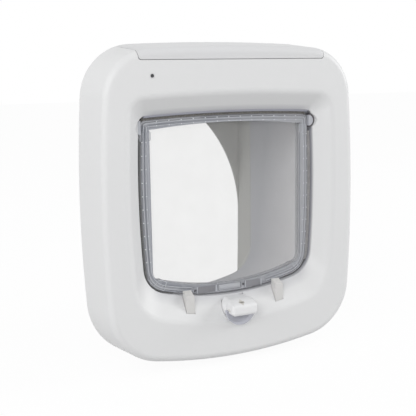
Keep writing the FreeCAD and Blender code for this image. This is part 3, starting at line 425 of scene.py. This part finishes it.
finish = {
    "white": moulded("white moulding", WHITE),
    "housing": funnel_white_painted_shade(),
    "cover": moulded("battery cover moulding", (0.735, 0.735, 0.74), 0.40),
    "latch": moulded("latch moulding", (0.70, 0.69, 0.675), 0.36),
    "knob": moulded("knob moulding", (0.86, 0.86, 0.865), 0.28, 0.00001),
    "tunnel": tunnel_grey_painted_light(),
    "sleeve": moulded("sleeve moulding", (0.60, 0.595, 0.565), 0.5),
    "pane": clear_moulding("clear pane", (0.62, 0.62, 0.605), 0.14, 0.04),
    "rail": clear_rail_painted_shade(),
    "bead": clear_moulding("clear bead", (0.66, 0.68, 0.72), 0.78, 0.10),
    "pip": clear_moulding("clear pip", (0.92, 0.93, 0.95), 0.9, 0.08),
    "panel": clear_moulding("clear pocket", (0.56, 0.57, 0.60), 0.9),
    "disc": clear_moulding("clear disc", (0.66, 0.67, 0.75), 0.6, 0.1),
    "ear_left": clear_ear_painted_shade("clear left ear", -1),
    "ear_right": clear_ear_painted_shade("clear right ear", 1),
    "brush_x": bristle("brush across", (0.12, 0.12, 0.118), (0.28, 0.28, 0.27), (0.12, 1.0, 1.0)),
    "brush_z": bristle("brush upright", (0.17, 0.16, 0.148), (0.36, 0.345, 0.32), (1.0, 1.0, 0.12)),
    "hair": bristle("grey hair", (0.16, 0.16, 0.157), (0.42, 0.42, 0.41), ACROSS),
    # Painted light: the grey hair painted paler, lifting the right brush out of the shade it sits in.
    "hair_right_painted_light": bristle("grey hair painted paler", (0.36, 0.35, 0.345), (0.78, 0.77, 0.76), ACROSS),
    # Painted light: the brown grey hair painted lighter, offsetting the shadow the throat lip casts on
    # the top brush.
    "hair_top_painted_light": bristle("brown grey hair painted lighter", (0.36, 0.34, 0.315), (0.74, 0.71, 0.67), UPRIGHT),
    "plate": metal("strike plate", (0.29, 0.29, 0.31), 0.42, (6.0, 1.0, 0.4), 0.003),
    "steel": metal("steel", (0.60, 0.61, 0.62)),
    "zinc": metal("zinc plate", (0.72, 0.73, 0.75), 0.28, EVEN, 0.004),
    "magnet": metal("magnet", (0.22, 0.22, 0.23), 0.5),
    # Painted shade: the bosses' dark colour stands for the shade of a recess.
    "screw": metal("dark boss painted shade", (0.13, 0.13, 0.14), 0.4),
    "solder": metal("solder", (0.66, 0.67, 0.68), 0.25, EVEN, 0.001),
    "black": moulded("black moulding", (0.025, 0.025, 0.027), 0.45),
    "gear": moulded("natural moulding", (0.74, 0.71, 0.64), 0.4),
    "button": moulded("button moulding", (0.26, 0.28, 0.31), 0.4),
    # Painted shade: dark blue grey standing for the shaded roll of the throat's top edge.
    "lip_painted_shade": moulded("throat lip painted shade", (0.32, 0.325, 0.375), 0.5),
    "print": moulded("printed arrow", (0.70, 0.68, 0.635), 0.6, 0.00001),
    "mark": moulded("moulded mark", (0.42, 0.42, 0.44), 0.5, 0.00001),
    "light": moulded("smoked light", (0.045, 0.045, 0.05), 0.12, 0.00001),
    "copper": wound_wire(),
    "board": board_green(),
    "cell": cell_sleeve(),
}

node_finish = {
    "front_housing": "housing", "rear_cover": "white", "battery_cover": "cover", "cover_screws": "zinc",
    "inner_tunnel": "tunnel", "outer_tunnel": "sleeve", "antenna_former": "black",
    "antenna_coil": "copper", "battery_tray": "black", "battery_contacts": "zinc",
    "circuit_board": "board", "led_lens": "light", "switch_base": "black", "learn_button": "button",
    "flap_rail": "rail", "flap_panel": "pane", "brush_top": "brush_z", "brush_left": "brush_x",
    "brush_right": "hair_right_painted_light", "brush_bottom_left": "brush_x", "brush_bottom_right": "brush_x",
    "latch_left": "latch", "latch_right": "latch", "latch_bar": "gear", "latch_pinion": "gear",
    "motor_shaft": "steel", "latch_motor": "zinc", "motor_bracket": "steel", "lock_knob": "knob",
    "lock_cam": "disc", "knob_clip": "zinc", "strike_plate_left": "plate",
    "strike_plate_right": "plate", "hinge_pin_left": "steel", "hinge_pin_right": "steel",
    "hinge_bush_left": "ear_left", "hinge_bush_right": "ear_right", "magnet_left": "magnet",
    "magnet_right": "magnet", "battery_cell_1": "cell", "battery_cell_2": "cell",
    "battery_cell_3": "cell", "battery_cell_4": "cell",
}


def coat_nodes():
    for name, node in frame["nodes"].items():
        for place in node.material_slots:
            place.material = finish[node_finish[name]]


# Camera, light and floor


def camera():
    """The photograph's camera: left of the flap, a little above it, looking right and down."""
    forward = Vector(CAMERA_FORWARD).normalized()
    level = Vector(CAMERA_RIGHT).normalized()
    upright = level.cross(forward)
    right = level * math.cos(CAMERA_ROLL) + upright * math.sin(CAMERA_ROLL)
    up = upright * math.cos(CAMERA_ROLL) - level * math.sin(CAMERA_ROLL)
    data = bpy.data.cameras.new("camera")
    data.lens = LENS
    data.sensor_width = SENSOR
    data.clip_start = 0.01
    cam = bpy.data.objects.new("camera", data)
    turn = Matrix((right, up, -forward)).transposed().to_4x4()
    cam.matrix_world = Matrix.Translation(CAMERA_PLACE) @ turn
    bpy.context.collection.objects.link(cam)
    bpy.context.scene.camera = cam


def lamp(name, place, width, power):
    """Round soft lamp that faces the origin."""
    data = bpy.data.lights.new(name, "AREA")
    data.shape = "DISK"
    data.size = width
    data.energy = power
    o = bpy.data.objects.new(name, data)
    o.location = place
    o.rotation_euler = (-Vector(place)).to_track_quat("-Z", "Y").to_euler()
    bpy.context.collection.objects.link(o)


def glow(tree, kind, color, strength):
    node = tree.nodes.new(kind)
    node.inputs[0].default_value = color
    node.inputs[1].default_value = strength
    return node.outputs[0]


def seen_rays(tree):
    """1 for what the camera sees, straight or by gloss or through clear parts, and 0 for the rest."""
    path = tree.nodes.new("ShaderNodeLightPath")
    most = path.outputs["Is Camera Ray"]
    for kind in ("Is Glossy Ray", "Is Transmission Ray"):
        node = tree.nodes.new("ShaderNodeMath")
        node.operation = "MAXIMUM"
        tree.links.new(most, node.inputs[0])
        tree.links.new(path.outputs[kind], node.inputs[1])
        most = node.outputs[0]
    return most


def mixed(tree, amount, a, b, out):
    mix = tree.nodes.new("ShaderNodeMixShader")
    for socket, source in zip(mix.inputs, (amount, a, b)):
        tree.links.new(source, socket)
    tree.links.new(mix.outputs[0], out.inputs[0])


def world():
    """White to look at, and soft room light on everything else."""
    made = bpy.data.worlds.new("studio")
    made.use_nodes = True
    bpy.context.scene.world = made
    tree = made.node_tree
    tree.nodes.clear()
    mixed(tree, seen_rays(tree), glow(tree, "ShaderNodeBackground", ROOM_COLOR, ROOM_LIGHT),
          glow(tree, "ShaderNodeBackground", PAPER_WHITE, 1.0), tree.nodes.new("ShaderNodeOutputWorld"))


def lay_floor():
    """Pale floor that keeps a faint shadow of the object."""
    mesh = bpy.data.meshes.new("floor")
    corners = ((-FLOOR_FAR, -FLOOR_FAR), (FLOOR_FAR, -FLOOR_FAR), (FLOOR_FAR, FLOOR_FAR),
               (-FLOOR_FAR, FLOOR_FAR))
    mesh.from_pydata([(x, y, FLOOR_Z) for x, y in corners], [], [(0, 1, 2, 3)])
    floor = bpy.data.objects.new("floor", mesh)
    bpy.context.collection.objects.link(floor)
    mat = bpy.data.materials.new("pale floor")
    mat.use_nodes = True
    tree = mat.node_tree
    shader = next(n for n in tree.nodes if n.type == "BSDF_PRINCIPLED")
    shader.inputs["Base Color"].default_value = FLOOR_COLOR
    shader.inputs["Roughness"].default_value = 0.9
    share = tree.nodes.new("ShaderNodeMath")
    share.operation = "MULTIPLY"
    share.inputs[1].default_value = FLOOR_GLOW_SHARE
    tree.links.new(seen_rays(tree), share.inputs[0])
    mixed(tree, share.outputs[0], shader.outputs[0],
          glow(tree, "ShaderNodeEmission", PAPER_WHITE, FLOOR_GLOW),
          next(n for n in tree.nodes if n.type == "OUTPUT_MATERIAL"))
    mesh.materials.append(mat)


def studio():
    bpy.context.scene.view_settings.view_transform = "Standard"
    world()
    lay_floor()
    for name, place, width, power in LAMPS:
        lamp(name, place, width, power)


# Making pieces


def only(o):
    bpy.ops.object.select_all(action="DESELECT")
    o.select_set(True)
    bpy.context.view_layer.objects.active = o


def fresh(name, add, **how):
    """A new primitive, alone in the selection."""
    bpy.ops.object.select_all(action="DESELECT")
    add(**how)
    o = bpy.context.object
    o.name = name
    o.data.name = name
    return o


def settle(o):
    """Moves a piece's place, turn and size into its mesh."""
    only(o)
    bpy.ops.object.transform_apply(location=True, rotation=True, scale=True)
    return o


def edit(o):
    only(o)
    bpy.ops.object.mode_set(mode="EDIT")


def done():
    bpy.ops.object.mode_set(mode="OBJECT")


def everything():
    bpy.ops.mesh.select_all(action="SELECT")


def weld(reach=WELD):
    everything()
    bpy.ops.mesh.remove_doubles(threshold=reach)


def face_outwards():
    everything()
    bpy.ops.mesh.normals_make_consistent(inside=False)


def thicken(way):
    """Extrudes the whole open sheet into a closed solid."""
    everything()
    bpy.ops.mesh.extrude_region_move(TRANSFORM_OT_translate={"value": way})
    face_outwards()


def inset(width, depth=0.0):
    bpy.ops.mesh.inset(thickness=width, depth=depth)


def pick(o, test, kind="faces"):
    """In edit mode, selects the faces, edges or points that pass the test."""
    bpy.ops.mesh.select_mode(type={"faces": "FACE", "edges": "EDGE", "verts": "VERT"}[kind])
    bpy.ops.mesh.select_all(action="DESELECT")
    b = bmesh.from_edit_mesh(o.data)
    for part in getattr(b, kind):
        if test(part):
            part.select_set(True)
    b.select_flush_mode()
    bmesh.update_edit_mesh(o.data)


def shape(o, kind, **how):
    """Adds a modifier, sets it and applies it."""
    only(o)
    m = o.modifiers.new(kind.lower(), kind)
    for key, value in how.items():
        setattr(m, key, value)
    bpy.ops.object.modifier_apply(modifier=m.name)
    return o


def soften(o, width, segments=2):
    return shape(o, "BEVEL", width=width, segments=segments, limit_method="ANGLE",
                 angle_limit=math.radians(35.0), harden_normals=False)


def block(name, low, high):
    size = [b - a for a, b in zip(low, high)]
    mid = [(a + b) / 2 for a, b in zip(low, high)]
    return settle(fresh(name, bpy.ops.mesh.primitive_cube_add, size=1.0, location=mid, scale=size))


def carve(o, cutter):
    shape(o, "BOOLEAN", operation="DIFFERENCE", object=cutter, solver="EXACT")
    drop(cutter)


def twin(o, name):
    """A copy with its own mesh."""
    c = bpy.data.objects.new(name, o.data.copy())
    bpy.context.collection.objects.link(c)
    return c


def merged(node, name):
    """A copy of a CAD node with its points joined and its stored normals dropped, ready to carve."""
    o = twin(frame["nodes"][node], name)
    edit(o)
    weld()
    bpy.ops.mesh.customdata_custom_splitnormals_clear()
    bpy.ops.mesh.mark_sharp(clear=True)
    done()
    return o


def join(name, parts):
    bpy.ops.object.select_all(action="DESELECT")
    for o in parts:
        o.select_set(True)
    bpy.context.view_layer.objects.active = parts[0]
    if len(parts) > 1:
        bpy.ops.object.join()
    o = bpy.context.object
    o.name = name
    o.data.name = name
    return o


def mirrored(o, name):
    """The same piece on the other side of the flap's middle."""
    c = twin(o, name)
    c.scale = (-1.0, 1.0, 1.0)
    settle(c)
    edit(c)
    face_outwards()
    done()
    return c


def dress(o, material, body, smooth=32.0):
    o.data.materials.clear()
    o.data.materials.append(finish[material])
    only(o)
    bpy.ops.object.shade_smooth_by_angle(angle=math.radians(smooth))
    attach(o, body)


def drop(*objects):
    for o in objects:
        bpy.data.objects.remove(o, do_unlink=True)


# The flap's rim


def top_z(x):
    return FLAP_TOP - FLAP_TOP_R + math.sqrt(FLAP_TOP_R ** 2 - x * x)


def side_x(z):
    return FLAP_HALF_W - FLAP_SIDE_R + math.sqrt(FLAP_SIDE_R ** 2 - (z - FLAP_WIDEST) ** 2)


def traced(name, source, test):
    """One loop of a piece's points, as a flat filled face."""
    o = twin(source, name)
    edit(o)
    weld()
    pick(o, lambda v: not test(v.co), "verts")
    bpy.ops.mesh.delete(type="VERT")
    everything()
    bpy.ops.mesh.delete(type="ONLY_FACE")
    everything()
    bpy.ops.mesh.edge_face_add()
    done()
    return o


def strip(name, outline, start, width, front, back, gone=None):
    """Closed strip of an even width along the outline, start inside it, from front to back."""
    o = twin(outline, name)
    edit(o)
    bpy.ops.mesh.select_mode(type="FACE")
    everything()
    left = start
    while left > WELD:
        now = min(left, 1.1 * MM)
        inset(now)
        bpy.ops.mesh.select_all(action="INVERT")
        bpy.ops.mesh.delete(type="FACE")
        weld(0.22 * MM)
        left -= now
    bpy.ops.mesh.select_mode(type="FACE")
    everything()
    inset(width)
    bpy.ops.mesh.delete(type="FACE")
    if gone:
        pick(o, lambda f: gone(f.calc_center_median()))
        bpy.ops.mesh.delete(type="FACE")
    here = o.data.vertices[0].co.y
    everything()
    bpy.ops.transform.translate(value=(0.0, back - here, 0.0))
    thicken((0.0, front - back, 0.0))
    done()
    return o


def over_plates(c):
    """Where the strike plates are, so that the ribs stop there."""
    return abs(c.x) < 30.0 * MM and c.z < -50.0 * MM


def beyond_side_brush(c):
    return abs(c.x) < 66.0 * MM or c.z > BRUSH_HIGH or c.z < BRUSH_LOW


def straight_window(rim, way):
    """Widens the window to a straight side with a nearly square corner above and a round one below."""
    side = block("window side", (40.0 * MM, BEFORE_RAIL, WINDOW_SIDE[0]),
                 (WINDOW_HALF_W, THROUGH_RAIL, WINDOW_SIDE[1]))
    edit(side)
    pick(side, lambda e: all(v.co.z < -50.0 * MM and v.co.x > 60.0 * MM for v in e.verts), "edges")
    bpy.ops.mesh.bevel(offset=WINDOW_LOW_R, segments=8)
    done()
    corner = block("window corner", (WINDOW_CORNER_X, BEFORE_RAIL, WINDOW_CORNER_Z[0]),
                   (WINDOW_HALF_W, THROUGH_RAIL, WINDOW_CORNER_Z[1]))
    for v in corner.data.vertices:
        if v.co.x < 60.0 * MM and v.co.z > 56.0 * MM:
            v.co.z += WINDOW_CORNER_RISE
    for tool in (side, corner):
        if way < 0:
            other = mirrored(tool, "window cut")
            drop(tool)
            tool = other
        carve(rim, tool)


def clear_rim(outline):
    """The clear rail with its window, slots and grooves, and the beads that run round it."""
    rim = merged("flap_rail", "rim")
    straight_window(rim, 1)
    straight_window(rim, -1)
    window = traced("window outline", rim,
                    lambda c: (abs(c.y - FLAP_FRONT) < 0.01 * MM and abs(c.x) < 62.4 * MM
                               and -60.4 * MM < c.z < 60.9 * MM))
    for start, width, depth in (SLOT, GROOVE):
        carve(rim, strip("groove", outline, start, width, BEFORE_RAIL, FLAP_FRONT + depth, over_plates))
    beads = [strip("bead", outline, start, width, FLAP_FRONT - proud, FLAP_FRONT + BEAD_SINK, over_plates)
             for start, width, proud in BEADS]
    beads.append(strip("window lip", window, 0.0, LIP_W, FLAP_FRONT - LIP_PROUD, FLAP_FRONT + LIP_DEEP))
    drop(window)
    for bead in beads:
        soften(bead, 0.12 * MM)
    carve(rim, strip("rebate", outline, 0.0, 0.95 * MM, BEFORE_RAIL, BRUSH_Y + 0.05 * MM,
                     beyond_side_brush))
    return rim, beads


def pips():
    """Small round pips on the inner bead, and ribs across the slot, one for each tooth of the mould."""
    pip = fresh("pip", bpy.ops.mesh.primitive_uv_sphere_add, segments=8, ring_count=6, radius=PIP_R)
    edit(pip)
    everything()
    bpy.ops.transform.resize(value=(1.0, 0.6, 1.0))
    done()
    rib = block("rib", (-0.35 * MM, -0.5 * MM, -0.38 * MM), (0.35 * MM, 0.5 * MM, 0.38 * MM))
    soften(rib, 0.08 * MM, 1)
    rib_y, pip_y = FLAP_FRONT + 0.35 * MM, FLAP_FRONT - 0.25 * MM
    placed = []
    for n in range(-6, 7):
        x = TOP_PIP_X + n * PIP_PITCH
        placed.append((rib, x, rib_y, top_z(x) - RIB_LINE, math.asin(x / FLAP_TOP_R)))
        placed.append((pip, x, pip_y, top_z(x) - PIP_LINE, 0.0))
    for side in (-1, 1):
        for n in range(-5, 5):
            z = SIDE_PIP_Z + n * PIP_PITCH
            placed.append((rib, side * (side_x(z) - RIB_LINE), rib_y, z, -QUARTER))
            placed.append((pip, side * (side_x(z) - PIP_LINE), pip_y, z, 0.0))
    parts = []
    for first, x, y, z, turn in placed:
        c = twin(first, "pip")
        c.location = (x, y, z)
        c.rotation_euler = (0.0, turn, 0.0)
        parts.append(settle(c))
    drop(pip, rib)
    return parts


def hinge_clip():
    """Two narrow loops that hold the hinge pin's end in the rail."""
    loops = []
    for x, wide in CLIP_LOOPS:
        face = fresh("clip outline", bpy.ops.mesh.primitive_plane_add, size=1.0)
        face.scale = (wide, CLIP_TALL, 1.0)
        face.rotation_euler = (QUARTER, 0.0, 0.0)
        face.location = (x, FLAP_FRONT, CLIP_Z)
        settle(face)
        edit(face)
        bpy.ops.mesh.select_mode(type="VERT")
        everything()
        bpy.ops.mesh.bevel(offset=CLIP_CORNER_R, segments=4, affect="VERTICES")
        done()
        loop = strip("clip", face, 0.0, 0.42 * MM, FLAP_FRONT - 0.4 * MM, FLAP_FRONT + 0.3 * MM)
        loops.append(soften(loop, 0.1 * MM))
        drop(face)
    return join("hinge clip", loops)


def plate_bars():
    """Light upright bars beside the strike plates."""
    return [soften(block("bar", (x - BAR_HALF_W, FLAP_FRONT - 0.25 * MM, PLATE_LOW - 0.3 * MM),
                         (x + BAR_HALF_W, FLAP_FRONT + 0.4 * MM, PLATE_LOW + 5.0 * MM)), 0.15 * MM)
            for x in BAR_X]


def plate_shade_bosses():
    """Dark dished boss beside each strike plate, its dark colour painted shade standing for a recess."""
    heads = []
    for x in BOSS_X:
        head = fresh("boss", bpy.ops.mesh.primitive_cylinder_add, vertices=20, radius=BOSS_R,
                     depth=0.5 * MM, location=(x, FLAP_FRONT - 0.1 * MM, BOSS_Z),
                     rotation=(QUARTER, 0.0, 0.0))
        settle(head)
        edit(head)
        pick(head, lambda f: f.normal.y < -0.9)
        inset(0.3 * MM, -0.2 * MM)
        done()
        heads.append(soften(head, 0.08 * MM, 1))
    return heads


def pocket_panel():
    """Raised panel in the pocket between the strike plates."""
    low = PLATE_LOW + 0.3 * MM
    panel = block("pocket_panel", (-POCKET_HALF_W, FLAP_FRONT + 0.55 * MM, low),
                  (POCKET_HALF_W, FLAP_FRONT + 1.35 * MM, low + POCKET_TALL))
    edit(panel)
    pick(panel, lambda f: f.normal.y < -0.9)
    inset(0.7 * MM)
    inset(0.35 * MM, 0.35 * MM)
    done()
    return soften(panel, 0.12 * MM)


def walk(outline, pitch):
    """Points every pitch along the outline, each with the way that faces outwards there."""
    data = outline.data
    loop = [data.vertices[n].co.copy() for n in data.polygons[0].vertices]
    sides = list(zip(loop, loop[1:] + loop[:1]))
    turn = 1.0 if sum(a.x * b.z - b.x * a.z for a, b in sides) > 0 else -1.0
    spare = 0.0
    for a, b in sides:
        length = (b - a).length
        ahead = (b - a) / length
        out = Vector((ahead.z, 0.0, -ahead.x)) * turn
        while spare < length:
            yield a + ahead * spare, out
            spare += pitch
        spare -= length


def tuft(tall):
    """A few fine hairs from one root, pointing up."""
    hairs = []
    for n, (lean, share) in enumerate(HAIRS):
        length = tall * share
        hair = fresh("hair", bpy.ops.mesh.primitive_cone_add, vertices=3, radius1=0.17 * MM,
                     radius2=0.07 * MM, depth=length, end_fill_type="NGON",
                     location=(0.0, (n % 2) * 0.28 * MM, length / 2), rotation=(0.0, 0.0, n * 0.7))
        settle(hair)
        hair.rotation_euler = (0.0, math.radians(lean), 0.0)
        hair.location = ((n - 1.5) * HAIR_PITCH, 0.0, 0.0)
        hairs.append(settle(hair))
    return join("tuft", hairs)


def bristles(name, outline, root, reach, wanted):
    """Tufts set side by side along part of the rim, no two quite alike."""
    first = tuft(reach - root)
    chance = random.Random(len(name))
    parts = []
    for place, out in walk(outline, TUFT_PITCH):
        if not wanted(place):
            continue
        c = twin(first, "tuft")
        turn = math.atan2(out.x, out.z) + math.radians(chance.uniform(-6.0, 6.0))
        c.rotation_euler = (0.0, turn, 0.0)
        c.scale = (1.0, 1.0, chance.uniform(0.9, 1.0))
        c.location = place + out * root
        c.location.y = BRUSH_Y - TUFT_FRONT + chance.uniform(-0.1, 0.1) * MM
        parts.append(settle(c))
    drop(first)
    return join(name, parts)


def all_bristles(outline):
    top = bristles("bristles_top", outline, -0.3 * MM, 2.75 * MM,
                   lambda c: c.z > 55.0 * MM and abs(c.x) < BRUSH_TOP_HALF)
    dress(top, "hair_top_painted_light", "flap", 20.0)
    for name, way, material in (("left", -1, "hair"), ("right", 1, "hair_right_painted_light")):
        side = bristles("bristles_" + name, outline, -0.85 * MM, 2.2 * MM,
                        lambda c: c.x * way > 60.0 * MM and BRUSH_LOW + MM < c.z < BRUSH_HIGH - MM)
        dress(side, material, "flap", 20.0)
        low = bristles("bristles_low_" + name, outline, -0.2 * MM, 0.75 * MM,
                       lambda c: c.x * way > BRUSH_CORNER_X and c.z < BRUSH_LOW - 0.4 * MM)
        dress(low, "hair", "flap", 20.0)


def flap_details():
    outline = traced("flap outline", frame["nodes"]["flap_rail"],
                     lambda c: (abs(c.y - OUTLINE_Y) < 0.01 * MM
                                and (abs(c.x) > 60.0 * MM or abs(c.z) > 55.0 * MM)))
    rim, beads = clear_rim(outline)
    dress(rim, "rail", "flap")
    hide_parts("flap_rail")
    dress(join("rim_beads", beads), "bead", "flap")
    dress(join("rim_pips", pips()), "pip", "flap")
    right = hinge_clip()
    left = mirrored(right, "hinge_clip_left")
    right.name = "hinge_clip_right"
    dress(right, "bead", "flap")
    dress(left, "rail", "flap")
    dress(join("plate_bars", plate_bars()), "bead", "flap")
    dress(join("plate_shade_bosses", plate_shade_bosses()), "screw", "flap")
    dress(pocket_panel(), "panel", "flap")
    all_bristles(outline)
    drop(outline)


# The funnel, the knob and the light


def throat_shade_lip():
    """Rolled edge along the top of the throat, over the brush, dark blue grey as painted shade of the
    throat's rounded edge.
    """
    def upper_arc(c):
        return (abs(c.y - BRUSH_Y) < 0.02 * MM and abs(c.x) < 67.5 * MM
                and c.z > top_z(c.x) + 2.0 * MM)
    o = twin(frame["nodes"]["brush_top"], "throat_shade_lip")
    edit(o)
    weld()
    pick(o, lambda v: not upper_arc(v.co), "verts")
    bpy.ops.mesh.delete(type="VERT")
    everything()
    bpy.ops.transform.translate(value=(0.0, -3.2 * MM, 0.45 * MM))
    bpy.ops.mesh.extrude_edges_move(TRANSFORM_OT_translate={"value": (0.0, 0.0, -1.6 * MM)})
    thicken((0.0, -1.3 * MM, 0.0))
    done()
    soften(o, 0.55 * MM, 4)
    dress(o, "lip_painted_shade", "housing")


def rounded_knob():
    """The lock knob with its top sloping down to the front and all its outer edges round."""
    knob = merged("lock_knob", "knob")
    behind = 4.0 * MM
    wedge = block("wedge", (-KNOB_HALF_W, KNOB_FRONT, KNOB_LOW),
                  (KNOB_HALF_W, KNOB_FLANGE + behind, KNOB_TOP))
    for v in wedge.data.vertices:
        if v.co.z > KNOB_LOW + MM:
            in_front = v.co.y < KNOB_FLANGE
            v.co.z += -KNOB_FALL if in_front else KNOB_FALL * behind / (KNOB_FLANGE - KNOB_FRONT)
    edit(wedge)
    pick(wedge, lambda e: any(v.co.y < KNOB_FLANGE for v in e.verts), "edges")
    bpy.ops.mesh.bevel(offset=KNOB_EDGE_R, segments=6)
    done()
    waste = block("waste", (-15.0 * MM, KNOB_FRONT - 3.0 * MM, KNOB_LOW - 3.0 * MM),
                  (15.0 * MM, KNOB_FLANGE, KNOB_TOP + 3.0 * MM))
    carve(waste, wedge)
    carve(knob, waste)
    dress(knob, "knob", "lock")
    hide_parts("lock_knob")


def pictogram(name, heads, length, width, place, turn):
    """Flat arrow inlay with one or two heads, as on the lock's faces."""
    head = width * 0.95
    stem_mid = 0.0 if len(heads) == 2 else -heads[0] * head / 2
    stem = fresh(name, bpy.ops.mesh.primitive_plane_add, size=1.0, location=(0.0, stem_mid, 0.0))
    stem.scale = (width * 0.42, length - head * len(heads), 1.0)
    parts = [settle(stem)]
    for way in heads:
        tip = fresh(name, bpy.ops.mesh.primitive_circle_add, vertices=3, radius=1.0, fill_type="NGON",
                    rotation=(0.0, 0.0, 0.0 if way > 0 else math.pi))
        settle(tip)
        tip.scale = (width / math.sqrt(3.0), head / 1.5, 1.0)
        tip.location = (0.0, way * (length / 2 - head * 2.0 / 3.0), 0.0)
        parts.append(settle(tip))
    o = join(name, parts)
    edit(o)
    thicken((0.0, 0.0, 0.05 * MM))
    done()
    o.rotation_euler = turn
    o.location = place
    settle(o)
    dress(o, "print", "lock")


def knob_arrows():
    slope = math.atan2(KNOB_FALL, KNOB_FLANGE - KNOB_FRONT)
    mid = (KNOB_FLANGE + KNOB_FRONT) / 2 + 0.3 * MM
    top = KNOB_TOP - (KNOB_FLANGE - mid) * math.tan(slope)
    side_y = KNOB_REAR - 3.4 * MM
    pictogram("arrow_both_ways", (1, -1), 7.4 * MM, 4.8 * MM, (-1.6 * MM, mid, top), (slope, 0.0, 0.0))
    for name, side in (("arrow_in", 1), ("arrow_out", -1)):
        pictogram(name, (side,), 4.6 * MM, 3.0 * MM, (-side * KNOB_HALF_W, side_y, SIDE_ARROW_Z),
                  (0.0, -side * QUARTER, 0.0))


def sill_mark():
    """Fine upright mark on the throat's lower edge that the knob is set against."""
    o = block("sill_mark", (8.2 * MM, -31.6 * MM, -69.3 * MM), (8.7 * MM, -30.0 * MM, -68.25 * MM))
    soften(o, 0.12 * MM)
    dress(o, "mark", "housing")


def light_ring():
    """Chamfered ring round the light's lens."""
    o = fresh("light_ring", bpy.ops.mesh.primitive_circle_add, vertices=36, radius=1.95 * MM,
              fill_type="NGON", location=(LED[0], HOUSING_FRONT + 0.05 * MM, LED[1]),
              rotation=(QUARTER, 0.0, 0.0))
    settle(o)
    edit(o)
    bpy.ops.mesh.select_mode(type="FACE")
    everything()
    inset(0.6 * MM)
    bpy.ops.mesh.delete(type="FACE")
    thicken((0.0, -0.2 * MM, 0.0))
    done()
    soften(o, 0.09 * MM)
    dress(o, "cover", "housing")


# Inside the battery bay


def coil_spring():
    """Tapered spring of three turns, along Z from the origin."""
    ring = fresh("spring", bpy.ops.mesh.primitive_circle_add, vertices=8, radius=0.24 * MM,
                 rotation=(QUARTER, 0.0, 0.0), location=(3.4 * MM, 0.0, 0.0))
    settle(ring)
    shape(ring, "SCREW", axis="Z", angle=2 * math.pi, screw_offset=0.68 * MM, iterations=3,
          steps=20, render_steps=20, use_merge_vertices=False, use_normal_calculate=True)
    edit(ring)
    weld()
    pick(ring, lambda e: e.is_boundary, "edges")
    bpy.ops.mesh.edge_face_add()
    face_outwards()
    done()
    return shape(ring, "SIMPLE_DEFORM", deform_method="TAPER", deform_axis="Z", factor=-0.3)


def contact_plate():
    """Thin sprung plate with clipped corners and a pressed rib, across Z."""
    plate = block("plate", (-4.4 * MM, -5.0 * MM, 0.0), (4.4 * MM, 5.0 * MM, 0.4 * MM))
    edit(plate)
    pick(plate, lambda e: abs((e.verts[0].co - e.verts[1].co).z) > 0.1 * MM, "edges")
    bpy.ops.mesh.bevel(offset=0.9 * MM, segments=3)
    pick(plate, lambda f: f.normal.z > 0.9)
    inset(0.8 * MM)
    inset(0.25 * MM, 0.15 * MM)
    done()
    return soften(plate, 0.06 * MM, 1)


def contact_pad():
    """Domed pad that a cell's flat end rests on."""
    pad = fresh("pad", bpy.ops.mesh.primitive_cylinder_add, vertices=28, radius=2.9 * MM,
                depth=1.6 * MM, location=(0.0, 0.0, 1.2 * MM))
    settle(pad)
    edit(pad)
    pick(pad, lambda f: f.normal.z > 0.9)
    inset(0.6 * MM, 0.35 * MM)
    done()
    return soften(pad, 0.25 * MM)


def battery_contacts():
    """Springs and domed pads on their plates, at the ends of the two rows of cells."""
    spring, plate, pad = coil_spring(), contact_plate(), contact_pad()
    parts = []
    for side in (-1, 1):
        for way in (-1, 1):
            for first in (plate, pad if side == way else spring):
                c = twin(first, "contact")
                c.rotation_euler = (0.0, -side * QUARTER, 0.0)
                c.location = (side * CONTACT_X, CELL_ROW_Y - way * CELL_PITCH / 2, CELL_Z)
                parts.append(settle(c))
    drop(spring, plate, pad)
    whole = join("contacts", parts)
    dress(whole, "zinc", "housing", 40.0)
    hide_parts("battery_contacts")


def solder_joints():
    """Solder under the circuit board where the parts' legs come through."""
    first = fresh("joint", bpy.ops.mesh.primitive_cone_add, vertices=10, radius1=0.9 * MM,
                  radius2=0.3 * MM, depth=0.8 * MM)
    settle(first)
    soften(first, 0.15 * MM)
    parts = []
    for x in SOLDER_X:
        for y in SOLDER_Y:
            c = twin(first, "joint")
            c.rotation_euler = (math.pi, 0.0, 0.0)
            c.location = (x * MM, y * MM, BOARD_LOW - 0.35 * MM)
            parts.append(settle(c))
    drop(first)
    dress(join("solder_joints", parts), "solder", "housing", 40.0)


coat_nodes()
camera()
studio()
flap_details()
throat_shade_lip()
rounded_knob()
knob_arrows()
sill_mark()
light_ring()
battery_contacts()
solder_joints()
